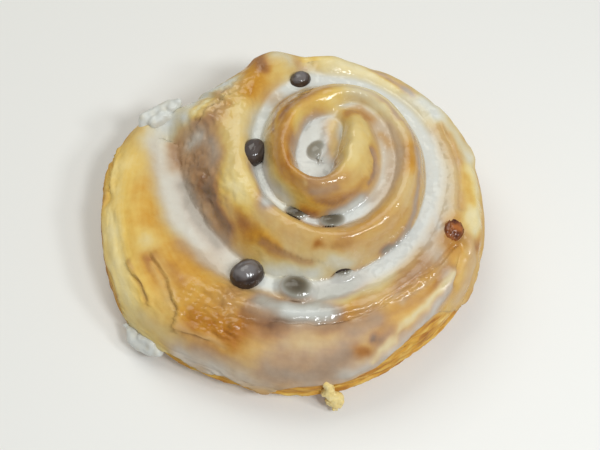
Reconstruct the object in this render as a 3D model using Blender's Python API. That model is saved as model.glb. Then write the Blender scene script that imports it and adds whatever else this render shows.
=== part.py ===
"""Iced raisin bun: a coil of laminated dough with raisins and sugar icing in its groove.

Run with blender --background --python part.py. The model is in metres with +Z up, and its
origin is at the middle of its bounding box on the flat base. One strip of dough is wound
clockwise from a curled head near the middle to a tail at the back left, and it climbs
towards the middle. Bearings are degrees clockwise from +Y about the swirl's axis. A turn
angle is a bearing that keeps counting, so 360 more is the same bearing one turn further out.
"""

import functools
import math

import bmesh
import bpy
import numpy as np
from mathutils import Matrix, Vector
from mathutils.noise import noise

MM = 0.001

# Driving dimensions, in millimetres and degrees.
SWIRL_AXIS = (8.2, 7.2)  # the coil is wound off centre, to the right and back
GIRTH_HEIGHT = 9.0  # height of the widest part of the wall
BASE_INSET = 4.5  # how far the wall tucks in at the base
EYE_FLOOR = 30.0  # dough inside the innermost turn
EYE_LEVEL = 32.6  # icing inside it
EYE_FULLNESS = 2.0  # how round its wall is
EYE_REACH = 16.0
EYE_SEGMENTS = 24
POOL_DEPTH = 3.3  # depth of the groove under the icing's level
HEAD_ANGLE = 30.0  # turn angle where the strip's inner end is at full height
HEAD_FADE = 22.0  # degrees over which that end rounds off
TAIL_ANGLE = 1010.0  # turn angle where the strip's outer end is at full height
TAIL_FADE = 12.0
TURN = 360.0
SETTLE = 6.0  # degrees over which one station eases into the next
LAYER_PITCH = 4.2  # height of one baked layer on the wall
LAYER_DEPTH = 0.8
LUMP_SIZE = 14.0  # wavelength of the dough's unevenness
LUMP_HEIGHT = 0.6
PIECE_GAP = 0.35  # clearance between touching pieces
VALLEY = 0.3  # how far the groove opens from a pinched V to a rounded valley
CREASE_DEPTH = 1.3  # trough along the outer turn's crest
CREASE_WIDTH = 2.2
CREASE_OFFSET = 2.0  # how far the trough lies outside the crest
CREASE_RANGE = (60.0, 215.0)  # bearings it runs over

SECTORS = 180
TOP_RINGS = 84
WALL_RINGS = 14
BASE_RINGS = 4
KEPT_SHARE = 0.11  # of the dough's facets after simplifying

# The strip's crest: turn angle, radius from the axis, height.
CREST_STATIONS = (
    (8, 14.5, 36.0), (20, 16.5, 36.5), (30, 18.0, 37.0), (48, 13.4, 40.0), (80, 9.6, 41.0),
    (130, 9.0, 40.5), (180, 10.2, 39.5), (225, 9.4, 39.0), (270, 9.7, 39.0), (315, 12.5, 39.0),
    (350, 18.0, 39.0), (375, 23.6, 38.5), (400, 26.8, 37.5), (430, 27.2, 36.0),
    (470, 26.4, 34.5), (520, 25.2, 32.8), (560, 20.8, 32.0), (590, 19.6, 32.0),
    (625, 22.0, 32.3), (655, 26.0, 32.0), (680, 33.0, 31.3), (698, 41.5, 30.8),
    (709, 43.0, 29.0), (717, 42.5, 25.5), (726, 41.8, 27.8), (770, 42.2, 27.0),
    (830, 43.6, 25.6), (900, 44.5, 23.0), (940, 48.5, 22.0), (980, 54.5, 21.5),
    (1005, 56.5, 20.5), (1022, 57.5, 19.0),
)
# The groove outside that crest: turn angle, radius from the axis, level of the icing in it.
GROOVE_STATIONS = (
    (8, 18.0, 34.5), (20, 20.7, 35.2), (33, 22.8, 35.5), (51, 22.4, 34.5), (73, 20.8, 33.5),
    (96, 20.0, 32.5), (127, 19.3, 31.0), (151, 18.3, 29.5), (180, 17.0, 28.0),
    (216, 15.6, 27.5), (253, 16.4, 27.5), (288, 18.8, 28.0), (316, 25.3, 28.0),
    (336, 31.0, 27.5), (352, 34.0, 26.7), (374, 35.4, 26.2), (398, 35.6, 25.8),
    (419, 34.6, 25.4), (441, 33.2, 24.9), (467, 32.6, 24.2), (488, 32.6, 23.2),
    (510, 32.2, 22.2), (532, 33.0, 21.0), (552, 35.0, 20.0), (574, 36.0, 19.0),
    (600, 36.5, 18.6), (622, 40.5, 18.6), (639, 46.3, 18.6), (650, 51.0, 18.2),
    (662, 53.0, 17.0),
)
# The wall at its widest: bearing, radius from the axis.
RIM_STATIONS = (
    (0, 47.0), (30, 46.9), (60, 48.2), (90, 49.4), (120, 53.3), (150, 55.8), (180, 61.6),
    (210, 64.0), (235, 68.8), (265, 67.0), (285, 66.4), (296, 63.5), (306, 54.5),
    (318, 50.4), (332, 49.5), (343, 51.5), (352, 48.4),
)
# The foot of the wall round the eye: bearing, radius from the axis.
EYE_STATIONS = (
    (0, 15.0), (25, 14.0), (45, 7.0), (82, 3.6), (130, 3.8), (180, 5.4), (225, 5.6),
    (270, 5.8), (315, 8.0), (345, 13.0),
)
# Raisins: name, centre, length, width and height, bearing of the length.
RAISINS = (
    ("raisin_eye", (7.9, 11.7, 31.6), (7.6, 6.4, 5.6), 40),
    ("raisin_left", (-11.2, 13.8, 28.8), (8.8, 7.0, 7.4), 15),
    ("raisin_lip", (1.7, -6.9, 27.0), (7.0, 5.4, 5.0), 100),
    ("raisin_hollow", (12.1, -9.9, 27.4), (8.0, 5.8, 5.6), 85),
    ("raisin_back", (2.7, 42.3, 26.6), (7.0, 6.0, 6.0), 60),
    ("raisin_front_left", (-12.8, -22.9, 20.0), (10.2, 9.0, 8.4), 60),
    ("raisin_front", (1.6, -27.9, 19.8), (10.6, 8.4, 7.2), 110),
    ("raisin_pool", (15.0, -22.7, 21.4), (6.4, 4.8, 4.8), 75),
    ("raisin_baked", (47.3, -10.6, 24.6), (7.6, 6.2, 5.2), 20),
)
RAISIN_SEGMENTS = 12
RAISIN_RINGS = 7
WRINKLE_DEPTH = 0.07  # share of the raisin's size

# Icing: spacing of its stations and how it lies.
RIBBON_STEP = 10.0
RIBBON_COLUMNS = 6
RIBBON_SPANS = (  # name, first and last turn angle; a raisin parts them
    ("icing_swirl", 24.0, 573.5),
    ("icing_tail", 574.5, 662.0),
)
FILM_REACH = 2.6  # how far the icing wets the dough beyond its shores
FILM_THICKNESS = 1.0
COAT_THICKNESS = 0.75
COAT_STEP = 6.0
COAT_TOP_COLUMNS = 4
COAT_WALL_COLUMNS = 3
COAT_RANGE = (20.0, 264.0)
COAT_START = 0.9  # the coat begins at this share of the radius
COAT_EDGE = 1.42  # mean place of its lower edge, 1 at the shoulder and 2 at the base
DRIPS = (  # bearing, half width in degrees, how much further down the edge runs
    (48, 9, 0.06), (76, 6, 0.10), (100, 8, 0.20), (118, 7, 0.10), (158, 9, 0.12),
    (187, 7, 0.26), (208, 6, 0.14), (230, 6, 0.24), (250, 7, 0.12),
)

DOUGH_COLOUR = (0.60, 0.31, 0.09)
ICING_COLOUR = (0.78, 0.75, 0.68)
RAISIN_COLOUR = (0.045, 0.025, 0.015)


def clear_scene():
    """Removes what the startup file holds."""
    for obj in list(bpy.data.objects):
        bpy.data.objects.remove(obj, do_unlink=True)


def material(name, colour, roughness, coat=0.0):
    """A Principled BSDF in one colour."""
    made = bpy.data.materials.new(name)
    made.use_nodes = True
    shader = made.node_tree.nodes["Principled BSDF"]
    shader.inputs["Base Color"].default_value = (*colour, 1.0)
    shader.inputs["Roughness"].default_value = roughness
    shader.inputs["Metallic"].default_value = 0.0
    shader.inputs["Coat Weight"].default_value = coat
    return made


def eased(share):
    """A smooth step from 0 to 1."""
    share = min(max(share, 0.0), 1.0)
    return share * share * (3 - 2 * share)


def settled(stations, column, angle, period=None):
    """A column of a table of stations at this angle, eased over SETTLE degrees each way."""
    table = np.array(stations, float)
    spread = np.linspace(-1.5, 1.5, 13) * SETTLE
    weight = np.exp(-((spread / SETTLE) ** 2))
    values = np.interp(angle + spread, table[:, 0], table[:, column], period=period)
    return float((values * weight).sum() / weight.sum())


@functools.cache
def rim_radius(bearing):
    return settled(RIM_STATIONS, 1, bearing, period=TURN)


@functools.cache
def eye_foot(bearing):
    return settled(EYE_STATIONS, 1, bearing, period=TURN)


@functools.cache
def crest(turn):
    """Radius and height of the strip's crest."""
    return settled(CREST_STATIONS, 1, turn), settled(CREST_STATIONS, 2, turn)


@functools.cache
def groove(turn):
    """Radius of the groove outside the crest, and the icing's level in it."""
    return settled(GROOVE_STATIONS, 1, turn), settled(GROOVE_STATIONS, 2, turn)


@functools.cache
def strip_weight(first, last, bearing):
    """How much the strip counts here as running from the first to before the last turn."""
    inner = eased((bearing - (HEAD_ANGLE - HEAD_FADE)) / HEAD_FADE)
    outer = 1 - eased((bearing + 2 * TURN - TAIL_ANGLE) / TAIL_FADE)
    return (inner if first == 0 else 1 - inner) * (outer if last == 3 else 1 - outer)


@functools.cache
def knots(first, last, bearing):
    """(radius, height) of the axis, then each crest and groove outwards, then the rim."""
    found = [(0.0, EYE_FLOOR)]
    for turn in range(first, last):
        found.append(crest(bearing + TURN * turn))
        radius, level = groove(bearing + TURN * turn)
        found.append((radius, level - POOL_DEPTH))
    found[-1] = (rim_radius(bearing), GIRTH_HEIGHT)
    return found


def section(radius, points, foot):
    """Height of the dough over one radius, through these knots and the foot of the eye's wall."""
    index = 0
    while index < len(points) - 2 and radius > points[index + 1][0]:
        index += 1
    (inner, low), (outer, high) = points[index], points[index + 1]
    share = min(max((radius - inner) / (outer - inner), 0.0), 1.0)
    if index == 0:  # the bowl of the eye
        climb = max(0.0, radius - foot) / (outer - foot)
        return low + (high - low) * (1 - (1 - min(climb, 1.0)) ** EYE_FULLNESS)
    if index == len(points) - 2:  # the shoulder
        power = 2.4 if outer - inner < 22 else 1.7
        return high + (low - high) * (1 - share**power) ** (1 / 2.1)
    from_groove = share if high > low else 1 - share
    fullness = 1.0 + 1.5 * min(1.0, 9.0 / (outer - inner))
    round_crest = 1 - (1 - from_groove) ** fullness
    rise = round_crest * (1 - VALLEY) + eased(from_groove) * VALLEY
    return min(low, high) + abs(high - low) * rise


def crease(bearing, radius):
    """Depth of the trough where the outer turn's leaves have parted."""
    start, end = CREASE_RANGE
    along = eased((bearing - start) / 15) * (1 - eased((bearing - end) / 25))
    across = (radius - crest(bearing + 2 * TURN)[0] - CREASE_OFFSET) / CREASE_WIDTH
    return CREASE_DEPTH * along * math.exp(-across * across)


def dough_height(bearing, radius):
    """Height of the dough's top above the base."""
    height = 0.0
    for first in (0, 1):
        for last in (2, 3):
            weight = strip_weight(first, last, bearing)
            if weight > 0:
                points = knots(first, last, bearing)
                height += weight * section(radius, points, eye_foot(bearing))
    x, y = plan(bearing, radius)
    uneven = LUMP_HEIGHT * noise(Vector((x, y, 0.0)) / LUMP_SIZE) * min(1.0, radius / 4)
    return height + uneven - crease(bearing, radius)


def plan(bearing, radius):
    """Where a bearing and a radius lie in plan, in millimetres."""
    angle = math.radians(bearing)
    return SWIRL_AXIS[0] + radius * math.sin(angle), SWIRL_AXIS[1] + radius * math.cos(angle)


def skin(bearing, along):
    """(radius, height) on the dough: along is 0 to 1 over the top, then 1 to 2 down the wall."""
    rim = rim_radius(bearing)
    if along <= 1:
        return rim * along, dough_height(bearing, rim * along)
    down = along - 1
    height = dough_height(bearing, rim) * (1 - down)
    layer = math.sin(2 * math.pi * (height + 0.015 * bearing) / LAYER_PITCH)
    ripple = LAYER_DEPTH * layer * math.sin(math.pi * down)
    return rim + ripple - BASE_INSET * down**2.5, height


def lean(along):
    """(outward, upward) direction in which another piece clears the skin."""
    angle = math.pi / 2 * eased((along - 0.86) / 0.14)
    return math.sin(angle), math.cos(angle)


def place(bearing, radius, height):
    x, y = plan(bearing, radius)
    return Vector((x, y, height)) * MM


def add_object(name, bm, finish, collection):
    """Turns a bmesh into a smooth-shaded object with one material."""
    bmesh.ops.recalc_face_normals(bm, faces=bm.faces)
    mesh = bpy.data.meshes.new(name)
    bm.to_mesh(mesh)
    bm.free()
    mesh.shade_smooth()
    mesh.materials.append(finish)
    obj = bpy.data.objects.new(name, mesh)
    collection.objects.link(obj)
    return obj


def apply_modifiers(obj):
    """Replaces the object's mesh with the one its modifiers give."""
    bpy.context.view_layer.update()
    graph = bpy.context.evaluated_depsgraph_get()
    mesh = bpy.data.meshes.new_from_object(obj.evaluated_get(graph))
    obj.modifiers.clear()
    obj.data = mesh


def make_dough(collection, finish):
    """A sphere's rings pressed into the coil's top, its layered wall and its flat base."""
    rings = TOP_RINGS + WALL_RINGS + BASE_RINGS
    bm = bmesh.new()
    bmesh.ops.create_uvsphere(bm, u_segments=SECTORS, v_segments=rings, radius=1.0)
    for vertex in bm.verts:
        ring = round(math.acos(max(-1.0, min(1.0, vertex.co.z))) / math.pi * rings)
        sector = round(math.atan2(vertex.co.x, vertex.co.y) / math.tau * SECTORS) % SECTORS
        bearing = 0.0 if ring in (0, rings) else sector * TURN / SECTORS
        if ring <= TOP_RINGS:
            share = ring / TOP_RINGS
            vertex.co = place(bearing, *skin(bearing, share * (1.15 - 0.15 * share)))
        elif ring <= TOP_RINGS + WALL_RINGS:
            vertex.co = place(bearing, *skin(bearing, 1 + (ring - TOP_RINGS) / WALL_RINGS))
        else:
            foot = rim_radius(bearing) - BASE_INSET
            vertex.co = place(bearing, foot * (rings - ring) / BASE_RINGS, 0.0)
    dough = add_object("dough", bm, finish, collection)
    thin = dough.modifiers.new("simplify", "DECIMATE")
    thin.ratio = KEPT_SHARE
    thin.use_collapse_triangulate = True
    apply_modifiers(dough)
    return dough


def make_clearance(dough, collection):
    """The dough grown by the gap, as a cutter for what lies on it."""
    cutter = dough.copy()
    cutter.name = "dough_clearance"
    cutter.data = dough.data.copy()
    collection.objects.link(cutter)
    for vertex in cutter.data.vertices:
        x = vertex.co.x / MM - SWIRL_AXIS[0]
        y = vertex.co.y / MM - SWIRL_AXIS[1]
        if vertex.co.z > 1.0 * MM:
            bearing = round(math.degrees(math.atan2(x, y)) % TURN, 1)
            outward, upward = lean(math.hypot(x, y) / rim_radius(bearing))
            side = Vector((x, y, 0)).normalized() * outward
            vertex.co += (side + Vector((0, 0, upward))) * PIECE_GAP * MM
    return cutter


def shores(turn):
    """Radii where the icing's level meets the dough on the two sides of the groove."""
    middle, level = groove(turn)
    bearing = turn % TURN
    step = 0.25
    inner = middle
    while inner > 0.5 and dough_height(bearing, inner) < level:
        inner -= step
    outer = middle
    while outer < rim_radius(bearing) - 2 and dough_height(bearing, outer) < level:
        outer += step
    return inner, outer


def make_block(name, rows, columns, bottom, top, collection, finish):
    """A closed block on a grid: it reaches from bottom(row, column) up to top(row, column)."""
    bm = bmesh.new()
    bmesh.ops.create_grid(bm, x_segments=rows, y_segments=columns, size=1.0)
    bmesh.ops.triangulate(bm, faces=bm.faces, quad_method="FIXED")
    lower = list(bm.verts)
    raised = bmesh.ops.extrude_face_region(bm, geom=list(bm.faces))
    upper = [item for item in raised["geom"] if isinstance(item, bmesh.types.BMVert)]
    for side, shape in ((lower, bottom), (upper, top)):
        for vertex in side:
            row = round((vertex.co.x + 1) / 2 * rows)
            column = round((vertex.co.y + 1) / 2 * columns)
            vertex.co = shape(row, column)
    return add_object(name, bm, finish, collection)


def subtract(obj, cutter):
    """Takes the cutter's volume out of the object."""
    cut = obj.modifiers.new("cut_" + cutter.name, "BOOLEAN")
    cut.operation = "DIFFERENCE"
    cut.solver = "EXACT"
    cut.object = cutter


def keep_largest(obj):
    """Applies the object's modifiers and drops the crumbs that the cuts left loose."""
    apply_modifiers(obj)
    bm = bmesh.new()
    bm.from_mesh(obj.data)
    waiting = set(bm.verts)
    pieces = []
    while waiting:
        piece = set()
        border = [waiting.pop()]
        while border:
            vertex = border.pop()
            piece.add(vertex)
            for edge in vertex.link_edges:
                other = edge.other_vert(vertex)
                if other in waiting:
                    waiting.remove(other)
                    border.append(other)
        pieces.append(piece)
    pieces.sort(key=len)
    for piece in pieces[:-1]:
        bmesh.ops.delete(bm, geom=list(piece), context="VERTS")
    bm.to_mesh(obj.data)
    bm.free()


def make_groove_icing(name, first, last, collection, finish):
    """The icing that fills the groove between two turn angles."""
    rows = round((last - first) / RIBBON_STEP)
    turns = [first + (last - first) * row / rows for row in range(rows + 1)]
    banks = [shores(turn) for turn in turns]

    def top(row, column):
        inner, outer = banks[row]
        share = column / RIBBON_COLUMNS
        radius = inner - FILM_REACH + (outer - inner + 2 * FILM_REACH) * share
        film = PIECE_GAP + FILM_THICKNESS * (1 - 1.8 * (2 * share - 1) ** 4)
        wetted = dough_height(turns[row] % TURN, radius) + film
        return place(turns[row], radius, max(groove(turns[row])[1], wetted))

    def bottom(row, column):
        return top(row, column) - Vector((0, 0, 2 * POOL_DEPTH * MM))

    return make_block(name, rows, RIBBON_COLUMNS, bottom, top, collection, finish)


def make_eye_icing(collection, finish):
    """The icing pooled inside the innermost turn."""
    bm = bmesh.new()
    bmesh.ops.create_cone(
        bm,
        cap_ends=True,
        segments=EYE_SEGMENTS,
        radius1=EYE_REACH * MM,
        radius2=EYE_REACH * MM,
        depth=2 * POOL_DEPTH * MM,
    )
    bmesh.ops.translate(bm, vec=place(0, 0, EYE_LEVEL - POOL_DEPTH), verts=bm.verts)
    return add_object("icing_eye", bm, finish, collection)


def coat_edge(bearing):
    """Where the coat's lower edge lies, counted as skin() counts along."""
    edge = COAT_EDGE
    for middle, spread, run in DRIPS:
        edge += run * math.exp(-(((bearing - middle) / spread) ** 2))
    return edge


def make_front_icing(collection, finish):
    """The coat over the outer turn's shoulder, with a dripping lower edge."""
    start, end = COAT_RANGE
    rows = round((end - start) / COAT_STEP)
    columns = COAT_TOP_COLUMNS + COAT_WALL_COLUMNS

    def lifted(row, column, depth):
        bearing = start + (end - start) * row / rows
        if column <= COAT_TOP_COLUMNS:
            along = 1 - (1 - COAT_START) * (1 - column / COAT_TOP_COLUMNS) ** 2
        else:
            down = (column - COAT_TOP_COLUMNS) / COAT_WALL_COLUMNS
            along = 1 + (coat_edge(bearing) - 1) * down
        radius, height = skin(bearing, along)
        outward, upward = lean(along)
        return place(bearing, radius + outward * depth, height + upward * depth)

    def top(row, column):
        across = 2 * column / columns - 1
        around = 2 * row / rows - 1
        body = (1 - across**6) * (1 - around**24)
        return lifted(row, column, PIECE_GAP + COAT_THICKNESS * (0.35 + 0.65 * body))

    def bottom(row, column):
        return lifted(row, column, -1.0)

    return make_block("icing_front", rows, columns, bottom, top, collection, finish)


def make_raisin(name, centre, size, bearing, margin, collection, finish):
    """A raisin: an egg with shallow wrinkles along its length."""
    bm = bmesh.new()
    bmesh.ops.create_uvsphere(
        bm, u_segments=RAISIN_SEGMENTS, v_segments=RAISIN_RINGS, radius=0.5
    )
    seed = Vector(centre)
    for vertex in bm.verts:
        dent = 1 - WRINKLE_DEPTH * noise(vertex.co * 5 + seed)
        vertex.co = vertex.co.zxy * dent
    grown = [(length + 2 * margin) * MM for length in size]
    bmesh.ops.scale(bm, vec=(grown[1], grown[0], grown[2]), verts=bm.verts)
    turn = Matrix.Rotation(math.radians(-bearing), 3, "Z")
    bmesh.ops.rotate(bm, cent=(0, 0, 0), matrix=turn, verts=bm.verts)
    bmesh.ops.translate(bm, vec=Vector(centre) * MM, verts=bm.verts)
    return add_object(name, bm, finish, collection)


def main():
    clear_scene()
    bun = bpy.data.collections.new("raisin_bun")
    cutters = bpy.data.collections.new("cutters")
    bpy.context.scene.collection.children.link(bun)
    bpy.context.scene.collection.children.link(cutters)
    baked = material("baked_dough", DOUGH_COLOUR, 0.45, 0.3)
    icing = material("sugar_icing", ICING_COLOUR, 0.25, 0.5)
    dark = material("raisin_skin", RAISIN_COLOUR, 0.35, 0.4)
    dough = make_dough(bun, baked)
    clearance = make_clearance(dough, cutters)
    coats = [make_groove_icing(*span, bun, icing) for span in RIBBON_SPANS]
    coats.append(make_eye_icing(bun, icing))
    coats.append(make_front_icing(bun, icing))
    for coat in coats:
        subtract(coat, clearance)
    for name, centre, size, bearing in RAISINS:
        make_raisin(name, centre, size, bearing, 0.0, bun, dark)
        hollow = make_raisin(
            "hollow_" + name, centre, size, bearing, PIECE_GAP, cutters, dark
        )
        for piece in (dough, *coats):
            subtract(piece, hollow)
    for piece in (dough, *coats):
        keep_largest(piece)
    for cutter in cutters.objects:
        cutter.hide_render = True
        cutter.display_type = "WIRE"


main()
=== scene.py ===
"""Iced raisin bun: dough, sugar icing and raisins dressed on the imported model.

The bun is one strip of laminated dough wound clockwise from a curled head near the middle to
a tail at the back left. Every surface is worked out from the same coil that the solids have:
a crest line, a groove line and a rim line, each a short table of stations. Lengths are in
millimetres and bearings are degrees clockwise from +Y about the coil's axis, seen from above.
"""

import logging
import math
from dataclasses import dataclass
from enum import Enum
from functools import cached_property

import bpy
import numpy as np
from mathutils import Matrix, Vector, noise


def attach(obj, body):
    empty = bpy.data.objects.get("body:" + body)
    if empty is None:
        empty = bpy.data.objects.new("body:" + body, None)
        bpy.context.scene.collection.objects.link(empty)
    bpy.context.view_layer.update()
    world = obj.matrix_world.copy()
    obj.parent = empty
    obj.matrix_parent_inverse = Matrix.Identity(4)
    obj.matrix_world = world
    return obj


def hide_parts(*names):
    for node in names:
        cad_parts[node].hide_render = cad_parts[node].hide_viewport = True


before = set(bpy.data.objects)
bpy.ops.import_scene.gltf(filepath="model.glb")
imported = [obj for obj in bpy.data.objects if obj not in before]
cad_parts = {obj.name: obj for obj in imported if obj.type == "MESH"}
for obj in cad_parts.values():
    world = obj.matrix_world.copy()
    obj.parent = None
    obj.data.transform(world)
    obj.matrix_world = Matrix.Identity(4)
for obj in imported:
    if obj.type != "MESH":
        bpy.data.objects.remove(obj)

MM = 0.001
TURN = 360.0
LOG = logging.getLogger("raisin_bun")


class Node(str, Enum):
    """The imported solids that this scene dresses."""

    DOUGH = "dough"
    ICING_SWIRL = "icing_swirl"
    ICING_TAIL = "icing_tail"
    ICING_EYE = "icing_eye"
    ICING_FRONT = "icing_front"


class Slot(str, Enum):
    """The record's material slots."""

    DOUGH = "baked_dough"
    ICING = "sugar_icing"
    RAISIN = "raisin_skin"


# ---------------------------------------------------------------- small helpers


def linear(colour: str) -> tuple[float, float, float, float]:
    """Turns an sRGB hex colour to linear.

    Args:
        colour: the colour as #rrggbb.

    Returns:
        Linear red, green, blue and an alpha of one.
    """
    values = [int(colour[i : i + 2], 16) / 255 for i in (1, 3, 5)]
    red, green, blue = [v / 12.92 if v <= 0.04045 else ((v + 0.055) / 1.055) ** 2.4 for v in values]
    return red, green, blue, 1.0


def smoothstep(low: float, high: float, value: np.ndarray) -> np.ndarray:
    """Eases from 0 at low to 1 at high.

    Args:
        low: where the step begins.
        high: where it ends; it may be below low.
        value: the values to step over.

    Returns:
        The eased shares.
    """
    share = np.clip((value - low) / (high - low), 0.0, 1.0)
    return share * share * (3 - 2 * share)


def grain(points: np.ndarray, size: float, seed: float = 0.0, octaves: int = 1) -> np.ndarray:
    """Reads smooth noise at points.

    Args:
        points: (n, 3) places in millimetres.
        size: wavelength in millimetres, or three of them for stretched noise.
        seed: shifts the pattern, so that two uses differ.
        octaves: finer layers added on top, each half as strong.

    Returns:
        Values of about -1 to 1.
    """
    places = points / np.asarray(size, float) + seed
    if octaves == 1:
        return np.array([noise.noise(Vector(p)) for p in places])
    return np.array([noise.fractal(Vector(p), 1.0, 2.0, octaves) for p in places])


def mesh_points(piece: bpy.types.Object) -> np.ndarray:
    """Reads a mesh's points.

    Args:
        piece: the mesh object.

    Returns:
        (n, 3) places in millimetres.
    """
    flat = np.empty(len(piece.data.vertices) * 3, np.float32)
    piece.data.vertices.foreach_get("co", flat)
    return flat.reshape(-1, 3).astype(float) / MM


def set_points(piece: bpy.types.Object, points: np.ndarray) -> None:
    """Moves a mesh's points.

    Args:
        piece: the mesh object.
        points: (n, 3) places in millimetres.
    """
    piece.data.vertices.foreach_set("co", (points * MM).astype(np.float32).ravel())
    piece.data.update()


def point_normals(piece: bpy.types.Object) -> np.ndarray:
    """Reads the smooth normal of every point.

    Args:
        piece: the mesh object.

    Returns:
        (n, 3) unit vectors.
    """
    flat = np.empty(len(piece.data.vertices) * 3, np.float32)
    piece.data.vertex_normals.foreach_get("vector", flat)
    return flat.reshape(-1, 3).astype(float)


def store(piece: bpy.types.Object, name: str, values: np.ndarray) -> None:
    """Keeps one number for each point as a named attribute.

    Args:
        piece: the mesh object.
        name: the attribute's name.
        values: one value for each point.
    """
    kept = piece.data.attributes.new(name, "FLOAT", "POINT")
    kept.data.foreach_set("value", np.asarray(values, np.float32))


def select_only(piece: bpy.types.Object) -> None:
    """Makes one object the selected and active one.

    Args:
        piece: the object.
    """
    bpy.ops.object.select_all(action="DESELECT")
    piece.select_set(True)
    bpy.context.view_layer.objects.active = piece


def apply_modifier(piece: bpy.types.Object, kind: str, **settings: float | bool | str) -> None:
    """Adds a modifier and applies it.

    Args:
        piece: the mesh object.
        kind: Blender's name for the modifier.
        settings: its properties.
    """
    select_only(piece)
    modifier = piece.modifiers.new(kind.lower(), kind)
    for name, value in settings.items():
        setattr(modifier, name, value)
    bpy.ops.object.modifier_apply(modifier=modifier.name)


def dress(piece: bpy.types.Object, material: bpy.types.Material) -> None:
    """Gives a piece its finish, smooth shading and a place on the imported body.

    Args:
        piece: the mesh object.
        material: its material.
    """
    piece.data.materials.clear()
    piece.data.materials.append(material)
    select_only(piece)
    bpy.ops.object.shade_smooth()
    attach(piece, "root")


# ---------------------------------------------------------------- the coil


@dataclass(frozen=True)
class StationLine:
    """A short table of (angle, value) stations eased into a smooth line.

    Attributes:
        stations: the table, with angles in degrees.
        settle: how far round a corner is eased, in degrees.
        period: the angle at which the line meets itself, if it closes.
        step: the angle between its samples.
        overrun: how far an open line carries on past its ends.
    """

    stations: tuple[tuple[float, float], ...]
    settle: float = 6.0
    period: float | None = None
    step: float = 0.5
    overrun: float = 30.0

    @cached_property
    def table(self) -> tuple[np.ndarray, np.ndarray]:
        """The eased line, sampled in fine steps.

        Returns:
            The angles, and the line's value at each.
        """
        angles, values = np.array(self.stations, float).T
        margin = self.overrun
        low, high = (0.0, self.period) if self.period else (angles[0] - margin, angles[-1] + margin)
        fine = np.arange(low, high + self.step, self.step)
        spread = np.linspace(-1.5, 1.5, 13) * self.settle
        weight = np.exp(-((spread / self.settle) ** 2))
        near = np.interp(fine[:, None] + spread, angles, values, period=self.period)
        return fine, near @ (weight / weight.sum())

    def at(self, angle: np.ndarray) -> np.ndarray:
        """Reads the line.

        Args:
            angle: angles in degrees.

        Returns:
            The line's values there.
        """
        return np.interp(angle, *self.table)


@dataclass(frozen=True)
class Section:
    """What the coil is like at a set of places.

    Attributes:
        height: the dough's top.
        level: the level of the icing in the nearest hollow.
        across: -1 at the groove inside the strip, 0 on its crest, 1 at the groove outside.
        turn: how far along the strip the place is, in degrees.
    """

    height: np.ndarray
    level: np.ndarray
    across: np.ndarray
    turn: np.ndarray


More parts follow.
